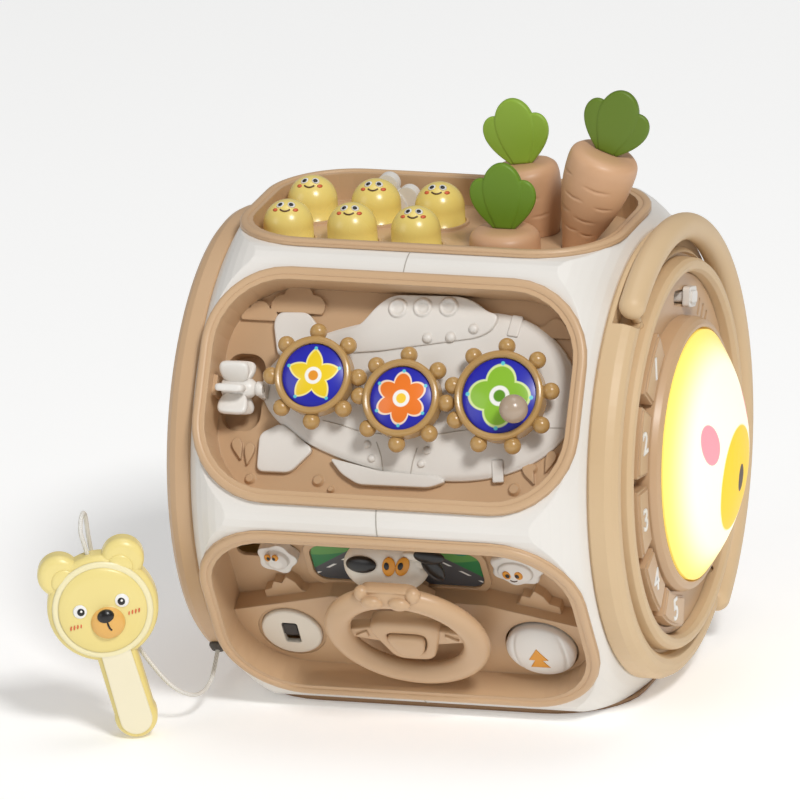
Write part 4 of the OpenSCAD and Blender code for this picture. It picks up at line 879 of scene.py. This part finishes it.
def airshipRelief():
    high = airship["floor"] + airship["trimHigh"]
    parts = [(shape, whitePlastic, None) for shape in hullShapes()]
    for x, y in airship["windows"]:
        parts.append((revolved(airship["window"], 48), whitePlastic, moved(x, y, high)))
    for x, y in airship["highRivets"]:
        parts.append((ball(airship["highRivet"], 24, 12), whitePlastic, moved(x, y, high)))
    for x, y in airship["lowRivets"]:
        parts.append((ball(airship["lowRivet"], 24, 12), whitePlastic, moved(x, y, hullTop(x, y))))
    for x, y, turn in airship["straps"]:
        corners = [moved(x, y, 0, turn) @ Vector((u, v, 0)) for u, v in block(*airship["strap"])]
        verts, faces = puffed([(p.x, p.y) for p in corners], -1.2, 0.9, 0.5, 0.05)
        parts.append((([(u, v, w + hullTop(u, v)) for u, v, w in verts], faces), whitePlastic, None))
    parts += bearingParts()
    assembled("airshipRelief", "housing", gearFace, parts, ["airship_panel"])
    seam = moulded("shadowed seam plastic", (206, 200, 190), (198, 191, 180), 0.5, coat=0.0)
    for i, line in enumerate(airship["seams"], 1):
        fine = [Vector(a).lerp(Vector(b), k / 6) for a, b in zip(line, line[1:]) for k in range(6)]
        path = [(p.x, p.y, hullTop(p.x, p.y) + 0.05) for p in fine + [Vector(line[-1])]]
        groove = strand("hullSeam%d" % i, path, airship["seamThick"], seam, gearFace)
        carried(groove, "housing")


airshipRelief()
print("airship relief made")

# paddle wheel: six soft blades on a shaft along the tray
paddle = {"y": -0.6, "z": -9.0, "behind": 11.0, "shaft": 2.0, "hub": 4.6, "hubBevel": 0.8, "hubLow": -7,
          "hubHigh": 7.6, "nose": (2.6, 10.2), "blades": 6, "phase": 12, "root": 3.5, "low": -7.6,
          "thick": 3.6, "blade": [(0, 2), (5, 0), (9, 0), (11, 2), (11, 13), (9, 15), (5, 15), (0, 13)]}


def paddleWheel():
    low, high = (corner.x * 1000 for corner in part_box("paddle_wheel"))
    middle = low + paddle["behind"]
    across = gearFace @ Matrix.Translation((middle, paddle["y"], paddle["z"])) @ turned(90, "Y")
    s, h, bevel, start = paddle["shaft"], paddle["hub"], paddle["hubBevel"], paddle["hubLow"]
    nose, tip = paddle["nose"]
    hub = [(s, start), (h - bevel, start), (h, start + bevel), (h, paddle["hubHigh"]), (nose, tip), (s, tip)]
    ends = [(0, low - middle), (s, low - middle)], [(s, high - middle), (0, high - middle)]
    parts = [(revolved(ends[0] + hub + ends[1], 48), whitePlastic, None)]
    blade = plump(rounded(paddle["blade"], 3.5), paddle["thick"], 1.5, 0.25)
    root = Matrix.Translation((paddle["root"], 0, paddle["low"]))
    for k in range(paddle["blades"]):
        stand = turned(360 * k / paddle["blades"] + paddle["phase"], "Z") @ root
        parts.append((blade, whitePlastic, stand @ turned(90, "X")))
    assembled("paddleWheel", "paddle_wheel", across, parts, ["paddle_wheel"])


paddleWheel()
print("paddle wheel made")

# rounded lip on the rim of each tray: inset and height along its profile
lip = {"wide": 195.0, "long": 117.0, "corner": 41.0, "steps": 16,
       "profile": [(0.2, 1.0), (0.25, 2.2), (0.8, 2.95), (1.7, 3.3), (2.5, 3.35), (3.4, 3.2), (4.1, 2.8),
                   (4.4, 2.2), (3.0, 1.0)],
       "trays": {"top": topFace, "gear": gearFace, "drive": driveFace, "lowBack": lowBackFace,
                 "highBack": highBackFace}}


def trayLips():
    corner, steps = lip["corner"], lip["steps"]
    halfWide, halfLong = lip["wide"] / 2 - corner, lip["long"] / 2 - corner
    verts = []
    for inset, z in lip["profile"]:
        r = corner - inset
        for quarter, (sx, sy) in enumerate(((1, 1), (-1, 1), (-1, -1), (1, -1))):
            for k in range(steps + 1):
                a = math.pi / 2 * (quarter + k / steps)
                verts.append((sx * halfWide + r * math.cos(a), sy * halfLong + r * math.sin(a), z))
    n = len(verts) // len(lip["profile"])
    rows = rowsOf(len(lip["profile"]), n)
    shape = verts, joined(rows + rows[:1], n)
    for name, matrix in lip["trays"].items():
        assembled(name + "TrayLip", "housing", matrix, [(shape, tanPlastic, None)])


trayLips()

# parting line of the two shell halves on the bands between the trays
parting = {"corner": 112.0, "round": 18.0, "half": 30, "step": 5, "thick": 0.00028}


def partingLines():
    dim = moulded("parting line shade", (190, 184, 174), (182, 176, 165), 0.6, coat=0.0)

    def outward(degrees):
        a = math.radians(degrees)
        return Vector((0, math.cos(a), math.sin(a)))

    for k in range(6):
        middle = 60 * k + 60
        centre = outward(middle) * parting["corner"]
        bend = range(-parting["half"], parting["half"] + 1, parting["step"])
        points = [centre + outward(middle + b) * parting["round"] for b in bend]
        line = [Vector((0, 0, axisHeight)) + p / 1000 for p in points]
        carried(strand("partingLine%d" % (k + 1), line, parting["thick"], dim), "housing")


partingLines()
print("tray lips and parting lines laid")

# front of the mallet: a pale ring round the face, an inset on the grip, inner ears and the face
mallet = {"seat": 5.1, "shellFront": 7.5, "face": 8.3, "recess": 24.0, "grip": 7.9, "gripEnd": -58.0,
          "gripTop": [(7.2, -19), (-7.2, -19)], "ear": (6.2, 5.6, 1.3), "earAt": (14.4, 18.8, 6.9),
          "earTurn": 38, "disc": [(0, -0.3), (21.6, -0.3), (21.5, 0.5), (20.6, 1.1), (17, 1.9), (10, 2.6),
                                  (0, 2.9)],
          "ticks": 4, "tick": (0.42, 1.25, 0.3), "tickAt": (14.6, -4.2, 2.2), "tickStep": 1.7,
          "tickTurn": -20, "muzzle": (8.4, 8.2, 4.6), "muzzleAt": (1, -6, 2.2), "nose": (4.2, 3.5, 2.6),
          "noseAt": (1, -1.8, 5.2), "mouthThick": 0.0005,
          "mouth": [(1, -4.4, 6.5), (1.1, -6, 6.9), (1.3, -7.6, 6.7), (2.0, -9.0, 6.3)]}
# white, pupil and glint of an eye: half sizes, sides, rings, ink, place to the side, shift and height
malletEye = (((3.5, 3.5, 0.6), 28, 8, inkWhite, 10.5, 0, 3, 2.5),
             ((1.9, 2.0, 0.6), 24, 8, inkBlack, 10.2, 0, 2.8, 2.9),
             ((0.65, 0.65, 0.4), 16, 6, inkWhite, 10.2, 0.3, 3.2, 3.3))


def malletFace():
    face, seat, r, front = (mallet[k] for k in ("face", "seat", "recess", "shellFront"))
    pale = moulded("pale ring plastic", (244, 234, 190), (239, 228, 180), 0.34)
    muzzle = moulded("orange muzzle plastic", (238, 188, 104), (228, 172, 86), 0.34)
    ring = revolved([(0, seat), (r - 0.1, seat), (r - 0.1, front), (r + 0.6, front + 0.05),
                     (r + 0.4, front + 0.6), (r - 0.5, front + 1.0), (r - 1.6, front + 1.05),
                     (r - 2.4, face), (0, face)], 96)
    plate = revolved([(far, face + rise) for far, rise in mallet["disc"]], 96)
    end = [math.pi + math.pi * k / 24 for k in range(25)]
    width, low = mallet["grip"], mallet["gripEnd"]
    grip = mallet["gripTop"] + [(width * math.cos(a), low + width * math.sin(a)) for a in end]
    parts = [(ring, pale, None), (plate, malletPlastic, None),
             (puffed(grip, seat, face, 0.7, 0.15, 6), creamPlastic, None)]
    for side in (-1, 1):
        x, y, z = mallet["earAt"]
        ear = moved(side * x, y, z, -side * mallet["earTurn"])
        parts.append((ball(mallet["ear"], 36, 14), malletPlastic, ear))
        for size, sides, rings, ink, x, shift, y, z in malletEye:
            parts.append((ball(size, sides, rings), ink, moved(side * x + shift, y, face + z)))
        x, y, z = mallet["tickAt"]
        for k in range(mallet["ticks"]):
            along = (k - (mallet["ticks"] - 1) / 2) * mallet["tickStep"]
            tick = moved(side * x + along, y, face + z, mallet["tickTurn"])
            parts.append((ball(mallet["tick"], 12, 6), inkBlush, tick))
    lift = Matrix.Translation((0, 0, face))
    parts.append((ball(mallet["muzzle"], 48, 20), muzzle, lift @ moved(*mallet["muzzleAt"])))
    parts.append((ball(mallet["nose"], 36, 16), inkBlack, lift @ moved(*mallet["noseAt"])))
    assembled("malletFace", "hammer", malletHead, parts, ["hammer_front"])
    line = [(x, y, face + z) for x, y, z in mallet["mouth"]]
    mouth = strand("malletMouth", line, mallet["mouthThick"], inkBlack, malletHead)
    carried(mouth, "hammer")


malletFace()
print("mallet face made")

# steering wheel on its leaning column: rim, spokes, a hub with a pocket for the horn button, and paws
wheel = {"at": (2.7, -9, 0), "lean": 10, "ring": 34.5, "tube": (6.6, 5.0), "rise": 3.0, "column": 7.0,
         "columnLow": -31.5, "flange": (2, 3), "hornAt": -4.5, "pocket": 1.06, "hubLow": -3.0, "hubTop": 5.4,
         "pocketFloor": 0.4,
         "hub": [(-11, 12), (11, 12), (17.8, 8.5), (17.4, 3), (13.8, -8), (10.0, -20.0), (-10.0, -20.0),
                 (-13.8, -8), (-17.4, 3), (-17.8, 8.5)],
         "hubEdge": [(0, 2.4), (0.04, 1.5), (0.12, 0.7), (0.25, 0.2), (0.5, 0), (0.8, 0), (0.92, 0.15),
                     (0.98, 0.5), (1, 1.0)],
         "spokes": [(-31, 2.5), (-14, 6.5), (14, 6.5), (31, 2.5), (31, -3.5), (13, -7), (-13, -7),
                    (-31, -3.5)],
         "arms": [(-14, -3.6), (-15.4, -0.6), (-12, 2.6), (10, 2.6), (13.4, -0.6), (12, -3.6)], "armsAt": 4.6,
         "wedge": [(19.6, -2.2), (26.6, -1.2), (19.8, 3.6)],
         "elbow": (3.8, 4.4, 3.8), "elbowAt": (12.8, -1, 4.0, 0.6), "elbowTurn": 20,
         "paw": (5.6, 4.6, 3.2), "pawAt": (6.9, -1.6, 1.8, 4.6), "pawFacing": (0, -0.3, 0.95),
         "horn": [(-9.2, 8.2), (9.2, 8.2), (9.2, 1), (5.6, -8.8), (-5.6, -8.8), (-9.2, 1)]}
columnPlace = driveFace @ Matrix.Translation(wheel["at"]) @ turned(wheel["lean"], "X")


# where rays from a centre leave an outline
def alongRays(outline, centre, count=144):
    made = []
    for d in (Vector(p) for p in around(count)):
        far = 0.0
        for p, q in zip(outline, outline[1:] + outline[:1]):
            p, e = Vector(p) - centre, Vector(q) - Vector(p)
            cross = d.x * e.y - d.y * e.x
            if abs(cross) > 1e-9 and 0 <= (p.x * d.y - p.y * d.x) / cross <= 1:
                far = max(far, (p.x * e.y - p.y * e.x) / cross)
        made.append(centre + d * far)
    return made


def hubShape():
    centre = Vector((0, wheel["hornAt"]))
    pocket = [(x * wheel["pocket"], y * wheel["pocket"] + wheel["hornAt"]) for x, y in wheel["horn"]]
    outer, inner = alongRays(rounded(wheel["hub"], 6), centre), alongRays(rounded(pocket, 5), centre)
    edge = [(share, wheel["hubTop"] - drop) for share, drop in wheel["hubEdge"]]
    levels = [(0, wheel["hubLow"])] + edge + [(1, wheel["pocketFloor"])]
    n = len(outer)
    verts = [tuple(outer[i].lerp(inner[i], t)) + (z,) for t, z in levels for i in range(n)]
    rows = rowsOf(len(levels), n)
    return verts, joined(rows, n) + [tuple(reversed(rows[0])), tuple(rows[-1])]


def steeringWheel():
    w, t = wheel["tube"]
    rise, ring = wheel["rise"], wheel["ring"]
    turns = [math.tau * k / 32 for k in range(33)]
    rim = revolved([(ring + w * math.cos(a), rise + t * math.sin(a)) for a in turns], 144)
    c, low = wheel["column"], wheel["columnLow"]
    wide, high = c + wheel["flange"][0], low + wheel["flange"][1]
    column = revolved([(0, low), (wide, low), (wide, high), (c, high), (c, 0), (0, 0)], 64)
    spokes = puffed(rounded(wheel["spokes"], 3), rise - 5, rise + 0.4, 1.3, 0.0)
    arms = puffed(rounded(wheel["arms"], 3), rise - 4, rise + 1.6, 1.2, 0.2)
    parts = [(shape, tanPlastic, None) for shape in (rim, column, hubShape(), spokes)]
    parts.append((arms, tanPlastic, moved(0, ring + wheel["armsAt"], 0)))
    for side in (-1, 1):
        wedge = rounded([(side * x, y) for x, y in wheel["wedge"]], 0.9)
        parts.append((puffed(wedge, rise - 1, rise + 1.6, 0.5, 0.0), tanPlastic, None))
        x, shift, y, z = wheel["elbowAt"]
        elbow = moved(side * x + shift, ring + y, rise + z, -side * wheel["elbowTurn"])
        parts.append((ball(wheel["elbow"], 36, 18), tanPlastic, elbow))
        x, shift, y, z = wheel["pawAt"]
        paw = aimed((side * x + shift, ring + y, rise + z), wheel["pawFacing"])
        parts.append((ball(wheel["paw"], 36, 18), tanPlastic, paw))
    assembled("steeringWheel", "steering_wheel", columnPlace, parts, ["steering_wheel"])
    horn = puffed(rounded(wheel["horn"], 5), rise + 0.4, rise + 4.6, 1.8, 0.7, 8)
    parts = [(horn, tanPlastic, moved(0, wheel["hornAt"], 0))]
    assembled("hornButton", "horn_button", columnPlace, parts, ["horn_button"])


steeringWheel()
print("steering wheel made")

# puppy that drives: its head stands on the frame of the road card
puppy = {"at": (-5, 24, -12.2), "head": (21.4, 15.2, 12.8), "foot": -22.4,
         "eyes": [(5.2, 9.6, 10), (11.6, 8.6, 6)], "eye": (3.3, 4.8, 0.8), "pupil": (1.4, 2.0, 0.5),
         "pupilAt": (-0.9, 0.4, 0.55),
         "ears": [((-14.2, 33, -3.8), (-0.28, 0.58, 0.76), (8.8, 4.2, 1.9), -18),
                  ((20.5, 29.2, -7.6), (0.2, 0.3, 0.93), (8.4, 4.2, 2.4), -28),
                  ((20, 36.6, -7.8), (0.1, 0.4, 0.9), (7.8, 3.8, 2.2), 4)],
         "stem": (8.0, 2.6, 2.2), "stems": [(13, 29.6, -9.4), (13, 35, -9.4)]}


def drivingPuppy():
    centre = Vector(puppy["at"])
    a, b, c = puppy["head"]
    fur = moulded("puppy white plastic", (240, 234, 222), (234, 227, 213), 0.34)
    verts, faces = ball((a, b, c), 64, 32)
    head = [(x, y, max(z, puppy["foot"] - centre.z)) for x, y, z in verts], faces
    parts = [(head, fur, Matrix.Translation(centre))]

    def onHead(x, y, lift=0.0):
        z = c * math.sqrt(1 - (x / a) ** 2 - (y / b) ** 2)
        out = Vector((x / a ** 2, y / b ** 2, z / c ** 2)).normalized()
        return centre + Vector((x, y, z)) + out * lift, out

    aside, above, lift = puppy["pupilAt"]
    for x, y, turn in puppy["eyes"]:
        parts.append((ball(puppy["eye"], 32, 12), inkOrange, aimed(*onHead(x, y), turn)))
        pupil = aimed(*onHead(x + aside, y + above, lift), turn)
        parts.append((ball(puppy["pupil"], 24, 10), inkBlack, pupil))
    for at, out, size, turn in puppy["ears"]:
        parts.append((ball(size, 40, 16), inkBlack, aimed(at, out, turn)))
    # stems that carry the two lobes of the right ear
    for at in puppy["stems"]:
        parts.append((ball(puppy["stem"], 28, 12), fur, moved(*at)))
    assembled("drivingPuppy", "housing", driveFace, parts, ["driver_head"])


drivingPuppy()

# sliding figures: eyes and a smile on the left one, a wide wavy body with a face for the right one
figures = {"left_slider": {"eyes": ((-67.4, 19.6), (-63.6, 19.6)), "eye": (1.7, 2.5), "top": -15.9,
                           "smile": (-65.6, 14.6, 1.7)},
           "right_slider": {"eyes": ((53.1, 16.2), (59.0, 16.3)), "eye": (2.2, 2.9), "top": -16.7,
                            "smile": (56.0, 11.6, 1.8)}}
figureSmile = {"steps": (-1, -0.66, -0.33, 0, 0.33, 0.66, 1), "bend": 0.9, "sink": 0.15, "thick": 0.0003}
wavyFigure = {"at": (57.8, 17.4), "half": (13.0, 11.0), "lobes": 7, "swing": 0.07, "low": -23.4,
              "brim": -18.8, "crown": (8.8, 7.2), "crownAt": (-0.8, -1.0), "crownHigh": 1.5, "steps": 112,
              "stemAt": (57, 16),
              "stem": [(0, -27.8), (6.4, -27.8), (6.4, -26), (3.6, -26), (3.6, -23), (0, -23)]}


def figureFaces():
    for body, face in figures.items():
        parts = []
        z = face["top"]
        w, h = face["eye"]
        middle = sum(x for x, y in face["eyes"]) / 2
        for x, y in face["eyes"]:
            inward = 0.5 if x < middle else -0.5
            parts.append((ball((w, h, 0.7), 24, 10), inkOrange, moved(x, y, z)))
            parts.append((ball((w * 0.5, h * 0.5, 0.6), 20, 8), inkBlack, moved(x + inward, y, z + 0.5)))
        assembled(body + "Eyes", body, driveFace, parts)
        x, y, half = face["smile"]
        bend, sink = figureSmile["bend"], figureSmile["sink"]
        smile = [(x + half * t, y + bend * t * t, z - sink * t * t) for t in figureSmile["steps"]]
        line = strand(body + "Smile", smile, figureSmile["thick"], inkBrown, driveFace)
        carried(line, body)


def wavyBody():
    x, y = wavyFigure["at"]
    a, b = wavyFigure["half"]
    brim, steps = wavyFigure["brim"], wavyFigure["steps"]
    outline = []
    for k, (c, s) in enumerate(around(steps)):
        swell = 1 + wavyFigure["swing"] * math.cos(wavyFigure["lobes"] * math.tau * k / steps)
        outline.append((a * c * swell, b * s * swell))
    wide, high = wavyFigure["crown"]
    crown = [(wide * c, high * s) for c, s in around(steps)]
    aside, above = wavyFigure["crownAt"]
    parts = [(puffed(outline, wavyFigure["low"], brim, 1.6, 0.5, 8), whitePlastic, moved(x, y, 0)),
             (puffed(crown, brim, brim + wavyFigure["crownHigh"], 1.2, 0.9, 8), whitePlastic,
              moved(x + aside, y + above, 0)),
             (revolved(wavyFigure["stem"], 40), whitePlastic, moved(*wavyFigure["stemAt"], 0))]
    assembled("wavyFigure", "right_slider", driveFace, parts, ["right_slider"])


wavyBody()
figureFaces()
print("puppy and figures made")

# clam-shaped button with its orange mark
clam = {"at": (63, -31), "wide": 17.5, "high": 16.8, "low": -21.0, "top": -10.8, "crown": 4.4, "rings": 40,
        "sides": 120, "groove": 12.9, "grooveDeep": 0.85, "grooveWide": 0.7, "grooveBend": 0.3,
        "mark": [(-4.9, -7.9), (4.9, -7.9), (1.8, -2.4), (4.9, -2.4), (0, 5.4), (-4.9, -2.4), (-1.8, -2.4)],
        "markAt": -0.6, "markLow": -0.5, "markHigh": 0.35}


def clamHeight(u, v):
    rho = min(1.0, math.hypot(u / clam["wide"], v / clam["high"]))
    h = clam["top"] + clam["crown"] * math.sqrt(max(0.0, 1 - rho ** 2.4))
    bend = clam["groove"] * (1 - clam["grooveBend"] * (v / clam["high"]) ** 2)
    return h - clam["grooveDeep"] * math.exp(-((abs(u) - bend) / clam["grooveWide"]) ** 2) * (1 - rho ** 8)


def clamButton():
    x, y = clam["at"]
    rings, sides = clam["rings"], clam["sides"]
    rim = [(clam["wide"] * c, clam["high"] * s) for c, s in around(sides)]
    verts = [(u * k / rings, v * k / rings, clamHeight(u * k / rings, v * k / rings))
             for k in range(rings + 1) for u, v in rim]
    verts += [(u, v, clam["low"]) for u, v in rim]
    rows = rowsOf(rings + 2, sides)
    shape = verts, joined(rows, sides) + [tuple(reversed(rows[-1]))]
    n = len(clam["mark"])
    low, high = rowsOf(2, n)
    rises = (clam["markLow"], clam["markHigh"])
    mark = ([(u, v, clamHeight(u, v) + rise) for rise in rises for u, v in clam["mark"]],
            [tuple(reversed(low)), tuple(high)] + joined([low, high], n))
    parts = [(shape, whitePlastic, moved(x, y, 0))]
    assembled("clamButton", "shell_button", driveFace, parts, ["shell_button"])
    parts = [(mark, inkOrange, moved(x + clam["markAt"], y, 0))]
    assembled("clamMark", "shell_button", driveFace, parts, flat=True)


clamButton()

# numbers on the five keys
keyNumbers = {"angles": (50, 21.5, -7, -35.5, -64), "radius": 76.5, "top": 119.2, "size": 15.5, "thick": 0.25,
              "bold": 0.25}


def numberKeys():
    for i, angle in enumerate(keyNumbers["angles"], 1):
        name = "keyNumber%d" % i
        curve = bpy.data.curves.new(name, "FONT")
        curve.body = str(i)
        curve.align_x, curve.align_y = "CENTER", "CENTER"
        curve.size, curve.extrude, curve.offset = (keyNumbers[k] for k in ("size", "thick", "bold"))
        carrier = linked(name, curve)
        mesh = treeResult(carrier)
        bpy.data.objects.remove(carrier)
        a = math.radians(180 - angle)
        r = keyNumbers["radius"]
        mesh.transform(drumEnd @ moved(r * math.cos(a), r * math.sin(a), keyNumbers["top"]))
        mesh.materials.clear()
        mesh.materials.append(inkWhite)
        carried(finishMesh(name, mesh, False), "key_%d" % i)


numberKeys()
print("buttons and keys marked")

# stage: pale floor and soft studio light; place, size and energy of each lamp
stageSizes = {"floor": 14.0, "floorTone": (250, 250, 249), "floorDrift": (247, 247, 246), "sky": 0.24,
              "floorGlow": 0.22, "aim": (0, 0, 0.12)}
lamps = {"key": ((3.0, -3.6, 4.8), 1.3, 262), "fill": ((-3.6, -3.2, 2.0), 2.4, 27),
         "top": ((0.2, 0.6, 5.0), 2.4, 40)}


def addStage():
    half = stageSizes["floor"] / 2
    p = Paint("pale floor")
    tone = p.mix(p.noise(2.0), linear(*stageSizes["floorTone"]), linear(*stageSizes["floorDrift"]))
    mesh = bpy.data.meshes.new("floor")
    corners = [(-half, -half, 0), (half, -half, 0), (half, half, 0), (-half, half, 0)]
    mesh.from_pydata(corners, [], [(0, 1, 2, 3)])
    mesh.materials.append(p.set(Base_Color=tone, Roughness=0.8, Emission_Color=(1, 1, 1, 1),
                                Emission_Strength=stageSizes["floorGlow"]))
    ground = finishMesh("floor", mesh)
    world = bpy.data.worlds.new("studio")
    bpy.context.scene.world = world
    world.use_nodes = True
    sky = world.node_tree.nodes["Background"]
    sky.inputs["Color"].default_value = (1, 1, 1, 1)
    sky.inputs["Strength"].default_value = stageSizes["sky"]
    for name, (at, size, energy) in lamps.items():
        data = bpy.data.lights.new(name, "AREA")
        data.size, data.energy = size, energy
        lamp = linked(name, data)
        lamp.location = at
        lamp.rotation_euler = (Vector(at) - Vector(stageSizes["aim"])).to_track_quat("Z", "Y").to_euler()
    bpy.context.scene.view_settings.view_transform = "Standard"


addStage()
print("stage set")
